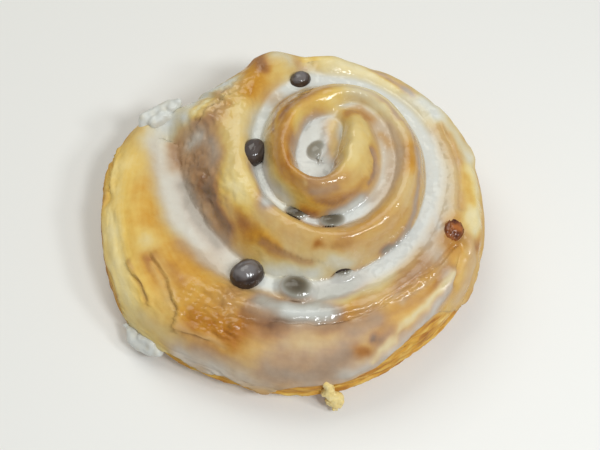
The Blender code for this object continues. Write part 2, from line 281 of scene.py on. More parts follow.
@dataclass
class Coil:
    """The strip of dough, its grooves and the wall round it.

    Attributes:
        crests: angle along the strip, radius and height of stations on the crest.
        grooves: angle, radius and level of icing of stations along the groove.
        rims, eye_walls: bearing and radius of the shoulder, and of the foot of the eye's wall.
        eye_levels: bearing and level of the icing in the eye.
        girth_height: height of the shoulder, where the top meets the wall.
        brow_powers: how square the outer flank is where it is narrow, and where it is wide.
        crease_range: bearings where the trough along the outer turn starts and ends.
    """

    axis: tuple[float, float] = (8.2, 7.2)
    girth_height: float = 9.0
    base_inset: float = 4.5
    base_curve: float = 2.5
    eye_floor: float = 30.0
    eye_fullness: float = 2.0
    pool_depth: float = 3.3
    valley: float = 0.3
    flank_fullness: float = 1.5
    flank_width: float = 9.0
    brow_width: float = 22.0
    brow_powers: tuple[float, float] = (2.4, 1.7)
    brow_root: float = 2.1
    head_angle: float = 30.0
    head_fade: float = 22.0
    tail_angle: float = 1010.0
    tail_fade: float = 12.0
    layer_pitch: float = 4.2
    layer_depth: float = 0.8
    layer_slope: float = 0.015
    lump_size: float = 14.0
    lump_height: float = 0.6
    lump_start: float = 4.0
    crease_depth: float = 1.3
    crease_width: float = 2.2
    crease_offset: float = 2.0
    crease_range: tuple[float, float] = (60.0, 215.0)
    crease_fades: tuple[float, float] = (15.0, 25.0)
    shoulder: float = 0.86
    crowding: float = 1.3
    crests: tuple[tuple[float, float, float], ...] = (
        (8, 14.5, 36.0), (20, 16.5, 36.5), (30, 18.0, 37.0), (48, 13.4, 40.0), (80, 9.6, 41.0),
        (130, 9.0, 40.5), (180, 10.2, 39.5), (225, 9.4, 39.0), (270, 9.7, 39.0),
        (315, 12.5, 39.0), (350, 18.0, 39.0), (375, 23.6, 38.5), (400, 26.8, 37.5),
        (430, 27.2, 36.0), (470, 26.4, 34.5), (520, 25.2, 32.8), (560, 20.8, 32.0),
        (590, 19.6, 32.0), (625, 22.0, 32.3), (655, 26.0, 32.0), (680, 33.0, 31.3),
        (698, 41.5, 30.8), (709, 43.0, 29.0), (717, 42.5, 25.5), (726, 41.8, 27.8),
        (770, 42.2, 27.0), (830, 43.6, 25.6), (900, 44.5, 23.0), (940, 48.5, 22.0),
        (980, 54.5, 21.5), (1005, 56.5, 20.5), (1022, 57.5, 19.0),
    )
    grooves: tuple[tuple[float, float, float], ...] = (
        (8, 18.0, 34.5), (20, 20.7, 35.2), (33, 22.8, 35.5), (51, 22.4, 34.5), (73, 20.8, 33.5),
        (96, 20.0, 32.5), (127, 19.3, 31.0), (151, 18.3, 29.5), (180, 17.0, 28.0),
        (216, 15.6, 27.5), (253, 16.4, 27.5), (288, 18.8, 28.0), (316, 25.3, 28.0),
        (336, 31.0, 27.5), (352, 34.0, 26.7), (374, 35.4, 26.2), (398, 35.6, 25.8),
        (419, 34.6, 25.4), (441, 33.2, 24.9), (467, 32.6, 24.2), (488, 32.6, 23.2),
        (510, 32.2, 22.2), (532, 33.0, 21.0), (552, 35.0, 20.0), (574, 36.0, 19.0),
        (600, 36.5, 18.6), (622, 40.5, 18.6), (639, 46.3, 18.6), (650, 51.0, 18.2),
        (662, 53.0, 17.0),
    )
    rims: tuple[tuple[float, float], ...] = (
        (0, 47.0), (30, 46.9), (60, 48.2), (90, 49.4), (120, 53.3), (150, 55.8), (180, 61.6),
        (210, 64.0), (235, 68.8), (265, 67.0), (285, 66.4), (296, 63.5), (306, 54.5),
        (318, 50.4), (332, 49.5), (343, 51.5), (352, 48.4),
    )
    eye_walls: tuple[tuple[float, float], ...] = (
        (0, 15.0), (25, 14.0), (45, 7.0), (82, 3.6), (130, 3.8), (180, 5.4), (225, 5.6),
        (270, 5.8), (315, 8.0), (345, 13.0),
    )
    eye_levels: tuple[tuple[float, float], ...] = (
        (0, 33.6), (12, 34.4), (22, 34.8), (45, 33.4), (90, 32.8), (270, 32.6), (330, 33.0),
    )

    def __post_init__(self) -> None:
        """Eases each table into its line."""
        self.crest_radius = StationLine(tuple((a, r) for a, r, _ in self.crests))
        self.crest_height = StationLine(tuple((a, z) for a, _, z in self.crests))
        self.groove_radius = StationLine(tuple((a, r) for a, r, _ in self.grooves))
        self.groove_level = StationLine(tuple((a, z) for a, _, z in self.grooves))
        self.rim = StationLine(self.rims, period=TURN)
        self.eye_wall = StationLine(self.eye_walls, period=TURN)
        self.eye_level = StationLine(self.eye_levels, period=TURN)

    def plan(self, bearing: np.ndarray, radius: np.ndarray) -> tuple[np.ndarray, np.ndarray]:
        """Where bearings and radii lie in plan.

        Args:
            bearing: bearings about the axis.
            radius: distances from it.

        Returns:
            X and Y.
        """
        angle = np.radians(bearing)
        return self.axis[0] + radius * np.sin(angle), self.axis[1] + radius * np.cos(angle)

    def _cut(self, bearing: np.ndarray, radius: np.ndarray, first: int, last: int) -> Section:
        """The section where the strip counts as crossing the bearing from turn first to last.

        Args:
            bearing: bearings about the axis.
            radius: distances from it.
            first: the innermost turn that crosses.
            last: one past the outermost.

        Returns:
            The section at each place.
        """
        knots = [(0 * bearing, self.eye_floor + 0 * bearing, self.eye_level.at(bearing), first)]
        for turn in range(first, last):
            angle = bearing + TURN * turn
            level = self.groove_level.at(angle)
            crest = (self.crest_radius.at(angle), self.crest_height.at(angle))
            knots.append((*crest, level, turn))
            knots.append((self.groove_radius.at(angle), level - self.pool_depth, level, turn + 1))
        knots[-1] = (self.rim.at(bearing), self.girth_height + 0 * bearing, 0 * bearing, last)
        height = np.zeros_like(radius)
        level = np.zeros_like(radius)
        across = np.zeros_like(radius)
        turns = np.zeros_like(radius)
        for index, (start, end) in enumerate(zip(knots[:-1], knots[1:])):
            inner, low, start_level, turn = start
            outer, high = end[:2]
            width = outer - inner
            share = np.clip((radius - inner) / width, 0.0, 1.0)
            if index == 0:
                foot = self.eye_wall.at(bearing)
                climb = np.clip((radius - foot) / (outer - foot), 0.0, 1.0)
                rise = low + (high - low) * (1 - (1 - climb) ** self.eye_fullness)
            elif index == len(knots) - 2:
                power = np.where(width < self.brow_width, *self.brow_powers)
                rise = high + (low - high) * (1 - share**power) ** (1 / self.brow_root)
            else:
                up = share if index % 2 == 0 else 1 - share
                fullness = 1.0 + self.flank_fullness * np.minimum(1.0, self.flank_width / width)
                profile = (1 - (1 - up) ** fullness) * (1 - self.valley)
                profile += up * up * (3 - 2 * up) * self.valley
                rise = np.minimum(low, high) + np.abs(high - low) * profile
            here = radius >= inner
            height = np.where(here, rise, height)
            flood = start_level if index < len(knots) - 2 else 0 * bearing
            level = np.where(here, flood, level)
            across = np.where(here, share - 1 if index % 2 == 0 else share, across)
            turns = np.where(here, bearing + TURN * turn, turns)
        return Section(height, level, across, turns)

    def section(self, bearing: np.ndarray, radius: np.ndarray) -> Section:
        """The coil at places over its top.

        Args:
            bearing: bearings about the axis, from 0 to 360.
            radius: distances from it.

        Returns:
            The section at each place, where the strip's two ends fade in and out.
        """
        head = smoothstep(self.head_angle - self.head_fade, self.head_angle, bearing)
        tail_start = self.tail_angle - 2 * TURN
        tail = smoothstep(tail_start + self.tail_fade, tail_start, bearing)
        height = np.zeros_like(radius)
        level = np.zeros_like(radius)
        across = np.zeros_like(radius)
        turns = np.zeros_like(radius)
        strongest = np.zeros_like(radius)
        for first, inner in ((0, head), (1, 1 - head)):
            for last, outer in ((3, tail), (2, 1 - tail)):
                weight = inner * outer
                cut = self._cut(bearing, radius, first, last)
                height += weight * cut.height
                level += weight * cut.level
                across = np.where(weight > strongest, cut.across, across)
                turns = np.where(weight > strongest, cut.turn, turns)
                strongest = np.maximum(strongest, weight)
        x, y = self.plan(bearing, radius)
        flat = np.stack([x, y, 0 * x], 1)
        uneven = self.lump_height * grain(flat, self.lump_size)
        uneven *= np.minimum(1.0, radius / self.lump_start)
        return Section(height + uneven - self.crease(bearing, radius), level, across, turns)

    def crease(self, bearing: np.ndarray, radius: np.ndarray) -> np.ndarray:
        """Depth of the trough where the outer turn's leaves have parted.

        Args:
            bearing: bearings about the axis.
            radius: distances from it.

        Returns:
            The depths.
        """
        start, end = self.crease_range
        rising, falling = self.crease_fades
        along = smoothstep(0, rising, bearing - start) * (1 - smoothstep(0, falling, bearing - end))
        middle = self.crest_radius.at(bearing + 2 * TURN) + self.crease_offset
        return self.crease_depth * along * np.exp(-(((radius - middle) / self.crease_width) ** 2))

    def spread(self, share: np.ndarray, start: float = 0.0) -> np.ndarray:
        """Spaces rings so that they stay close where the shoulder is steep.

        Args:
            share: 0 to 1 over the rings of the top.
            start: where on the top they begin.

        Returns:
            Their places, from start to 1 at the shoulder.
        """
        bend = max(self.shoulder, start)
        arc = 0.5 * (1 - bend) * math.pi * self.crowding
        flat = max((bend - start) / (bend - start + arc), 1e-6)
        inner = start + (bend - start) * share / flat
        outer = bend + (1 - bend) * np.sin(0.5 * math.pi * (share - flat) / (1 - flat))
        return np.where(share < flat, inner, outer)

    def skin(self, bearing: np.ndarray, along: np.ndarray) -> "Skin":
        """Places on the dough.

        Args:
            bearing: bearings about the axis, from 0 to 360.
            along: 0 at the axis, 1 at the shoulder and 2 at the foot of the wall.

        Returns:
            The skin there.
        """
        rim = self.rim.at(bearing)
        radius = rim * np.minimum(along, 1.0)
        section = self.section(bearing, radius)
        down = np.maximum(along - 1.0, 0.0)
        height = section.height * (1 - down)
        layer = np.sin(2 * math.pi * (height + self.layer_slope * bearing) / self.layer_pitch)
        ripple = self.layer_depth * layer * np.sin(math.pi * down)
        radius = radius + ripple - self.base_inset * down**self.base_curve
        points = np.stack([*self.plan(bearing, radius), height], 1)
        return Skin(points, bearing, radius, along, section)

    def outward(self, bearing: np.ndarray, along: np.ndarray) -> np.ndarray:
        """The direction in which a coat grows: up over the top, outward on the wall.

        Args:
            bearing: bearings about the axis.
            along: 0 at the axis, 1 at the shoulder and 2 at the foot.

        Returns:
            (n, 3) unit vectors.
        """
        lean = math.pi / 2 * smoothstep(self.shoulder, 1.0, along)
        angle = np.radians(bearing)
        side = np.sin(lean)
        return np.stack([side * np.sin(angle), side * np.cos(angle), np.cos(lean)], 1)


@dataclass(frozen=True)
class Skin:
    """Places on the dough.

    Attributes:
        points: (n, 3) places in millimetres.
        bearing: their bearings about the coil's axis.
        radius: their distances from it.
        along: 0 at the axis, 1 at the shoulder and 2 at the foot of the wall.
        section: the coil there.
    """

    points: np.ndarray
    bearing: np.ndarray
    radius: np.ndarray
    along: np.ndarray
    section: Section


def wall_arc(skin: Skin, radius: float = 55.0) -> np.ndarray:
    """How far round the wall places lie.

    Args:
        skin: places on the dough.
        radius: the wall's middling radius in millimetres.

    Returns:
        Lengths of arc in millimetres.
    """
    return np.radians(skin.bearing) * radius


# ---------------------------------------------------------------- relief


def line_distance(
    points: np.ndarray, path: tuple[tuple[float, float, float], ...]
) -> tuple[np.ndarray, np.ndarray, np.ndarray]:
    """How places lie about a line of stations.

    Args:
        points: (n, 3) places in millimetres.
        path: (x, y, z) stations in millimetres.

    Returns:
        The distance to the line, the distance beyond its ends, and 1 to the left of it or -1
        to the right, seen from above.
    """
    stations = np.array(path, float)
    nearest = np.full(len(points), np.inf)
    beyond = np.zeros(len(points))
    side = np.ones(len(points))
    for index, (start, end) in enumerate(zip(stations[:-1], stations[1:])):
        step = end - start
        length = np.linalg.norm(step)
        run = (points - start) @ step / length
        held = np.clip(run, 0.0, length)
        away = np.linalg.norm(points - start - held[:, None] * step / length, axis=1)
        over = np.where(run < 0, -run if index == 0 else 0 * run, 0 * run)
        over = np.where(run > length, run - length if index == len(stations) - 2 else 0 * run, over)
        turn = step[0] * (points[:, 1] - start[1]) - step[1] * (points[:, 0] - start[0])
        closer = away < nearest
        nearest = np.where(closer, away, nearest)
        beyond = np.where(closer, over, beyond)
        side = np.where(closer, np.sign(turn), side)
    return nearest, beyond, side


@dataclass(frozen=True)
class Ridge:
    """A soft swelling along a line, or a trough where its height is negative.

    Attributes:
        path: (x, y, z) stations in millimetres.
        width: distance at which it has fallen to a third.
        height: how far it stands out.
    """

    path: tuple[tuple[float, float, float], ...]
    width: float
    height: float

    def at(self, points: np.ndarray) -> np.ndarray:
        """How far it raises each place.

        Args:
            points: (n, 3) places in millimetres.

        Returns:
            Heights in millimetres.
        """
        if len(self.path) == 1:
            away = np.linalg.norm(points - np.array(self.path[0]), axis=1)
        else:
            away = line_distance(points, self.path)[0]
        return self.height * np.exp(-((away / self.width) ** 2))


@dataclass(frozen=True)
class Leaf:
    """The edge of one leaf of dough that lies over another.

    Attributes:
        path: (x, y, z) stations in millimetres; the leaf lies to the left of it, from above.
        lift: how far the edge stands up.
        reach: how far back the leaf slopes away.
        tuck: depth of the shadow line under the edge.
        brink: where the rise to the edge begins and ends, across it.
        line: how far the shadow line lies below the edge, and half its width.
        fade: how softly the edge ends past its first and last station.
    """

    path: tuple[tuple[float, float, float], ...]
    lift: float
    reach: float
    tuck: float
    brink: tuple[float, float] = (-0.2, 0.45)
    line: float = 0.5
    fade: float = 1.2

    def at(self, points: np.ndarray) -> np.ndarray:
        """How far it raises each place.

        Args:
            points: (n, 3) places in millimetres.

        Returns:
            Heights in millimetres.
        """
        away, beyond, side = line_distance(points, self.path)
        signed = away * side
        ends = np.exp(-((beyond / self.fade) ** 2))
        sheet = smoothstep(*self.brink, signed)
        sheet *= np.exp(-((np.maximum(signed, 0) / self.reach) ** 2))
        under = np.exp(-(((signed + self.line) / self.line) ** 2))
        return (self.lift * sheet - self.tuck * under) * ends


# Swellings and troughs: stations, width and height.
RIDGES = (
    Ridge(((-10.5, 48.7, 28.5), (-7.4, 49.8, 29.2), (-3.6, 49.2, 29.4)), 3.4, 1.2),
    Ridge(((4, 48.2, 27.1),), 2.4, -1.3),
    Ridge(((7.8, 50.3, 26.5), (12.3, 49.7, 27.3)), 3.6, 1.0),
    Ridge(((26.4, 44.5, 27.3), (34, 39.5, 27.1), (41.5, 33, 27.1), (45.8, 27.2, 26.7)), 5.0, -0.8),
    Ridge(((54.4, 18.4, 21.8), (55.1, 15.3, 21.9)), 2.2, 0.8),
    Ridge(((46.2, 31.5, 26.1), (49.6, 27.9, 24.2), (53, 21.4, 22.7), (54.7, 15.6, 22.5)), 1.6, 0.9),
    Ridge((
        (46, 25.2, 26.5), (49, 18, 26.1), (50.6, 10.9, 25.9), (51.1, 4, 25.5), (50.2, -3.1, 25.8),
    ), 1.1, -0.9),
    Ridge(((49.9, -15.5, 23.8), (49, -20.7, 23.1), (47.4, -26.4, 21)), 1.2, -1.2),
    Ridge(((51.8, -13.8, 23.8), (52.7, -18.6, 20.4), (51.3, -23.9, 16.7), (49, -28.5, 14)), 2.2, 0.9),
    Ridge(((55.4, -7, 22.5), (55.3, -11.8, 20.3), (53.9, -18, 18.1)), 1.6, 0.5),
    Ridge((
        (46.5, -24, 23.2), (43.7, -30, 21.7), (38.6, -35.7, 20.5), (34.6, -40.2, 18.6),
        (29.9, -43.9, 17.9), (23.6, -48.1, 16.4), (16.3, -51.5, 15.1),
    ), 1.6, 1.0),
    Ridge(((39.8, -29.8, 23.2), (32.4, -36.5, 22.7), (25.2, -42.3, 21.8)), 2.0, -0.5),
    Ridge(((23.8, 9.9, 36.6), (25, 7.3, 35.1), (24.9, 4.4, 34.3)), 1.0, -0.9),
    Ridge(((19.6, 25.2, 35.3), (22.5, 23.2, 34.9), (24, 20.9, 34.6)), 1.2, 0.4),
    Ridge(((-55.9, 18.2, 15.7), (-57.3, 10.8, 14.7), (-56, 0.2, 17.4)), 2.0, 0.7),
    Ridge(((-53.7, -2.7, 19.4), (-51.4, -11.5, 19.7), (-48.7, -21.2, 19.1)), 1.4, -0.5),
)
# Edges of leaves: stations, lift, reach and tuck.
LEAVES = (
    Leaf((
        (-47.8, -19.9, 19.8), (-44.5, -24.3, 20), (-41.9, -28.2, 19.9), (-41.2, -31.1, 19.3),
    ), 1.05, 2.5, 0.55),
    Leaf((
        (-40.4, -18.5, 21.5), (-36.9, -24, 21.4), (-34.3, -29.4, 21.1), (-32.5, -35.5, 20.7),
        (-32.5, -39.6, 18.8),
    ), 1.2, 2.6, 0.66),
    Leaf(((-32.5, -39.9, 18.6), (-28.4, -40.9, 19.4), (-24.1, -42.7, 19.3)), 0.75, 2.0, 0.44),
    Leaf(((15.4, -39.3, 22.1), (9.8, -40.2, 22), (2.7, -39.7, 21.6), (-4.6, -39.1, 21.6)), 0.9, 3.0, 0.55),
    Leaf((
        (47.8, -16.3, 23.5), (43.1, -21, 23.7), (37.1, -26.3, 23.8), (31.2, -30.6, 23.6),
        (26.8, -33.6, 23.2),
    ), 0.9, 3.0, 0.605),
    Leaf(((26.8, -34.7, 22.9), (21.1, -36.5, 22.6), (17.4, -38, 21.9)), 0.6, 2.2, 0.44),
    Leaf(((-8.2, -14.9, 27), (-3, -18.6, 26.6), (2.7, -21.1, 26.3), (8.5, -22.3, 26)), 0.375, 2.2, 0),
    Leaf(((-20, 33, 30.8), (-24.9, 30.6, 28.8), (-28.5, 25.8, 27.1)), 0.75, 1.6, 0.44),
    Leaf(((-54.4, 22.7, 16.3), (-55.3, 14.4, 17.7), (-55.3, 6.9, 18.1)), 0.75, 1.6, 0.44),
)
# Patches of one kind of crust: stations, width and strength.
CRINKLED = (
    Ridge((
        (-21.3, 35.1, 29.9), (-27.3, 28.3, 28.9), (-31.3, 22.6, 22.1), (-28.8, 11, 23), (-23.4, -0.3, 24),
    ), 7.5, 1.0),
    Ridge(((-55.7, 18.9, 15.8), (-56, 7.4, 17.3)), 3.5, 0.6),
    Ridge(((-45.2, -23.3, 20), (-40.3, -31.2, 19.6)), 4.0, 0.4),
)
BLISTERED = (
    Ridge(((-28.6, -31.6, 21.8), (-24.2, -35.4, 21.7), (-19.3, -39.8, 21.1)), 5.0, 1.0),
    Ridge(((-18.5, -29.5, 21.4), (-16, -33.7, 21.5), (-15.3, -39.9, 21.5)), 4.5, 1.0),
    Ridge(((47.2, -11.6, 27),), 3.6, 1.2),
    Ridge(((23.7, 3.6, 35.5), (21.8, 0.7, 35.7)), 2.2, 0.6),
)
FLAKED = (
    Ridge(((-55.5, 20.3, 15.5), (-57.3, 10.8, 14.7), (-56.3, -1.3, 16.9)), 4.5, 0.9),
    Ridge(((47.5, -27.8, 19.3), (40.1, -37.3, 15.8), (31.3, -44.5, 14.5), (24.3, -49.5, 7.9)), 5.0, 0.9),
)
DRY_PATCHES = (
    Ridge(((-52, 14.7, 20), (-51.8, -1.6, 20.5), (-48.4, -19.8, 19.5), (-40.3, -36.2, 16.7)), 11.0, 0.9),
    Ridge((
        (-37.8, -41.2, 10.5), (-20, -49.8, 12.4), (-0.1, -52.9, 16.1), (16.8, -50.8, 16.3),
        (31, -42.1, 19.3),
    ), 9.0, 0.95),
    Ridge(((-4.2, -46, 21.3), (11.1, -47.3, 20.8)), 7.0, 0.8),
    Ridge(((-39.9, 6.4, 18.9), (-37, -12.3, 21.2)), 8.0, 0.8),
    Ridge(((-29.2, -32.3, 21.9), (-21.3, -36.8, 21.3), (-15.8, -32.3, 21.9)), 6.0, -0.9),
    Ridge(((2.7, -38, 22), (16.9, -36.5, 22.7), (31.2, -30.1, 23.8), (43.1, -21, 23.7)), 2.6, -0.9),
    Ridge(((47.1, -12.2, 26.9),), 4.0, -0.8),
)


@dataclass
class Relief:
    """What stands off the smooth coil: swellings, leaf edges, flakes, crinkles and blisters.

    Attributes:
        waves: height, wavelength and seed of each layer of unevenness.
        stray: how far lines wander from their stations.
        blister_reach, blister_height: a blister's radius and height, as shares of its spacing.
        flake_levels: heights where the wall has no flakes, and where it has all of them.
        flake_sizes: length and thickness of a flake.
    """

    coil: Coil
    ridges: tuple[Ridge, ...] = RIDGES
    leaves: tuple[Leaf, ...] = LEAVES
    crinkles: tuple[Ridge, ...] = CRINKLED
    blisters: tuple[Ridge, ...] = BLISTERED
    flakes: tuple[Ridge, ...] = FLAKED
    waves: tuple[tuple[float, float, float], ...] = ((0.2, 6.5, 2.0), (0.08, 2.6, 17.0))
    stray: float = 0.7
    stray_size: float = 4.0
    stray_seeds: tuple[float, float, float] = (101, 131, 161)
    fold_lean: float = 0.35
    fold_sizes: tuple[float, float, float] = (2.2, 3.8, 3.0)
    fold_seed: float = 53.0
    fold_rise: float = 0.35
    fold_depth: float = 1.5
    blister_sizes: tuple[float, float] = (2.3, 1.25)
    blister_reach: float = 0.62
    blister_height: float = 0.26
    blister_sink: float = 0.25
    least: float = 0.02
    flake_levels: tuple[float, float] = (16.0, 8.0)
    flake_share: float = 0.75
    flake_height: float = 0.62
    flake_middle: float = 0.4
    flake_sag: float = 1.1
    sag_size: float = 9.0
    flake_sizes: tuple[float, float] = (7.0, 1.7)

    def at(self, skin: Skin) -> np.ndarray:
        """How far the crust stands off the smooth coil.

        Args:
            skin: places on the dough.

        Returns:
            Heights in millimetres.
        """
        points = skin.points
        amount = sum(height * grain(points, size, seed) for height, size, seed in self.waves)
        shift = [self.stray * grain(points, self.stray_size, seed) for seed in self.stray_seeds]
        places = points + np.stack(shift, 1)
        for form in (*self.ridges, *self.leaves):
            amount += form.at(places)
        amount += self.crinkled(points, places) + self.blistered(points, places)
        return amount + self.flaked(skin, places)

    def crinkled(self, points: np.ndarray, places: np.ndarray) -> np.ndarray:
        """Sharp little folds in the crust.

        Args:
            points: places in millimetres.
            places: the same, shifted a little.

        Returns:
            Heights in millimetres.
        """
        share = sum(patch.at(places) for patch in self.crinkles)
        lean = np.stack([self.fold_lean * points[:, 1], 0 * share, 0 * share], 1)
        folds = np.abs(grain(points + lean, self.fold_sizes, self.fold_seed, 2))
        return share * (self.fold_rise - self.fold_depth * folds)

    def blistered(self, points: np.ndarray, places: np.ndarray) -> np.ndarray:
        """Sugar that has boiled up into small round blisters.

        Args:
            points: places in millimetres.
            places: the same, shifted a little.

        Returns:
            Heights in millimetres.
        """
        share = sum(patch.at(places) for patch in self.blisters)
        near = np.nonzero(share > self.least)[0]
        found = np.zeros(len(points))
        for size in self.blister_sizes:
            away = np.array([noise.voronoi(Vector(p))[0][0] for p in points[near] / size])
            dome = np.maximum(0.0, 1 - (away / self.blister_reach) ** 2)
            found[near] += self.blister_height * size * np.sqrt(dome)
        return share * (found - self.blister_sink)

    def flaked(self, skin: Skin, places: np.ndarray) -> np.ndarray:
        """Thin leaves of dough showing edge-on in the wall.

        Args:
            skin: places on the dough.
            places: the same places, shifted a little.

        Returns:
            Heights in millimetres.
        """
        share = sum(patch.at(places) for patch in self.flakes)
        low = smoothstep(*self.flake_levels, skin.points[:, 2]) * (skin.along > 0.9)
        share = np.clip(share + self.flake_share * low, 0.0, 1.0)
        arc = wall_arc(skin)
        sag = self.flake_sag * grain(np.stack([arc, 0 * arc, 0 * arc], 1), self.sag_size, 7.0)
        length, thickness = self.flake_sizes
        layers = np.stack([arc / length, (skin.points[:, 2] + sag) / thickness, 0 * arc], 1)
        edge = 1 - 2 * np.abs(grain(layers, 1.0, 8.0, 2))
        return share * self.flake_height * (edge - self.flake_middle)


# ---------------------------------------------------------------- baking and glazing


@dataclass(frozen=True)
class Stroke:
    """A soft brush line that brings the bake and the glaze to a level of their own.

    Attributes:
        path: (x, y, z) stations of the line, in millimetres.
        width: distance from the line at which it has faded to a third.
        toast: how brown the crust is along it, 0 to 1.
        veil: how far glaze hides the crust along it, 0 to 1.
        strength: how much of what was there before it covers.
    """

    path: tuple[tuple[float, float, float], ...]
    width: float
    toast: float
    veil: float
    strength: float = 0.94

    def weight(self, points: np.ndarray) -> np.ndarray:
        """How strongly the stroke counts at each place.

        Args:
            points: (n, 3) places in millimetres.

        Returns:
            0 to 1.
        """
        stations = np.array(self.path, float)
        nearest = np.linalg.norm(points - stations[0], axis=1)
        for start, end in zip(stations[:-1], stations[1:]):
            step = end - start
            share = np.clip((points - start) @ step / (step @ step), 0.0, 1.0)
            away = np.linalg.norm(points - start - share[:, None] * step, axis=1)
            nearest = np.minimum(nearest, away)
        return self.strength * np.exp(-((nearest / self.width) ** 2))


# Brush lines: stations, width, toast and veil, with a strength where it isn't the usual one.
OUTER_TURN_LEFT = (
    Stroke((
        (-53.2, 13.4, 19.3), (-53.8, -0.9, 19.3), (-51.4, -17.5, 18.3), (-45, -32.7, 16),
    ), 9, 0.19, 0),
    Stroke(((-42.7, 5.5, 20.3), (-40.2, -9, 21.2), (-36.5, -19.9, 21.7)), 7, 0.43, 0),
    Stroke(((-38.5, 8.4, 18.6), (-35.8, -2.3, 18.7), (-31.4, -11.1, 19)), 4, 0.18, 0.53),
    Stroke(((-56.5, 16.9, 15.5), (-57.6, 9.4, 14), (-56.3, -1.3, 16.9)), 3, 0.47, 0.09),
    Stroke(((-43.3, 22.6, 19.3), (-42.2, 15.2, 19.2)), 5, 0.19, 0.1),
    Stroke(((-39.7, 29.3, 18.9), (-41.7, 25.2, 18.3)), 5, 0, 0.59),
    Stroke((
        (-54.7, -2.2, 18.5), (-52.6, -12.6, 18.7), (-49.2, -25.1, 17), (-44.1, -34.6, 14.8),
    ), 3.2, 0.12, 0.09),
    Stroke(((-48.5, -4, 21.5), (-46.6, -10.6, 21.1), (-45, -15.6, 21.1)), 3.2, 0.36, 0),
    Stroke(((-42.5, -12.5, 21.5), (-40.4, -18.5, 21.5)), 3.5, 0.19, 0.29),
    Stroke(((-32.4, -12.6, 19.8), (-29.1, -15.4, 19.3), (-25.1, -19.3, 19.2)), 3.5, 0.57, 0.22),
    Stroke(((-40.3, -19.8, 21.3), (-35.4, -24, 21.4), (-31.8, -27.2, 21.2)), 3.5, 0.69, 0.1),
    Stroke(((-30.3, -21.7, 21.3),), 1.5, 0.45, 0),
    Stroke(((-29.1, -23, 21.2), (-24.3, -27, 21.5)), 5, 0.43, 0.04),
    Stroke(((-44.9, -21.9, 20.4), (-42.9, -27.5, 19.9), (-41.5, -31, 19.3)), 2.0, 0.32, 0.03),
    Stroke(((-38, -19.9, 21.6), (-35.3, -26.6, 21.3), (-33.8, -31.9, 21)), 2.0, 0.44, 0.22),
)
CARAMEL = (
    Stroke(((-29.5, -31, 21.8), (-24.4, -31.9, 21), (-19.5, -30.9, 21.7)), 5, 0.43, 0.16),
    Stroke(((-27, -38.1, 20.9), (-21.3, -39.7, 20.9), (-16.1, -41.4, 21.3)), 5.5, 0.59, 0),
    Stroke(((-17.8, -32.2, 21.6), (-15.7, -28.6, 20.8)), 4, 0.53, 0.25),
    Stroke(((-21.2, -42.3, 20), (-16.4, -44.5, 20.1)), 3, 0.59, 0),
    Stroke(((-23.9, -29.6, 21.6), (-22.9, -33.1, 21)), 2.5, 0.49, 0.15),
)
OUTER_TURN_FRONT = (
    Stroke(((-41.9, -35.3, 16.3), (-35.9, -40.4, 15.7), (-28.5, -44, 16.7)), 4, 0.3, 0.4),
    Stroke(((-46, -34.8, 6.8), (-41.3, -39.4, 6.3), (-33.6, -44.5, 7.2)), 4, 0.02, 0.15),
    Stroke(((-27.1, -45.2, 15.9), (-21.3, -47.6, 15.9), (-14.7, -50.1, 16)), 4, 0.64, 0.46),
    Stroke((
        (-31.7, -44.6, 12.5), (-23.5, -48.5, 12.1), (-15.4, -51.5, 12.2), (-7.4, -53.4, 13),
    ), 4.5, 0.57, 0.78),
    Stroke(((-14.1, -41.6, 21.7), (-11.3, -46.9, 20), (-5.6, -50, 18.7)), 7, 0.39, 0.38),
    Stroke(((-12.8, -37.5, 21), (-8, -40, 21.5), (-1.5, -42.4, 22.2)), 4, 0.71, 0.24),
    Stroke((
        (-6.3, -40.3, 21.6), (-0.1, -42.1, 22.1), (6.9, -42.6, 22.6), (15.4, -40.7, 22.4),
    ), 2.6, 0.79, 0.12),
    Stroke(((2.7, -46.1, 21.6), (11.1, -47.3, 20.8), (16.7, -47.6, 20.2)), 6, 0.37, 0.55),
    Stroke(((-5.7, -52.1, 16.4), (5.5, -53.1, 15.9), (12.6, -52, 16.2)), 5, 0.71, 0.49),
    Stroke(((11.1, -50.1, 19), (15.3, -47.7, 20.3)), 4, 0.72, 0.4),
)
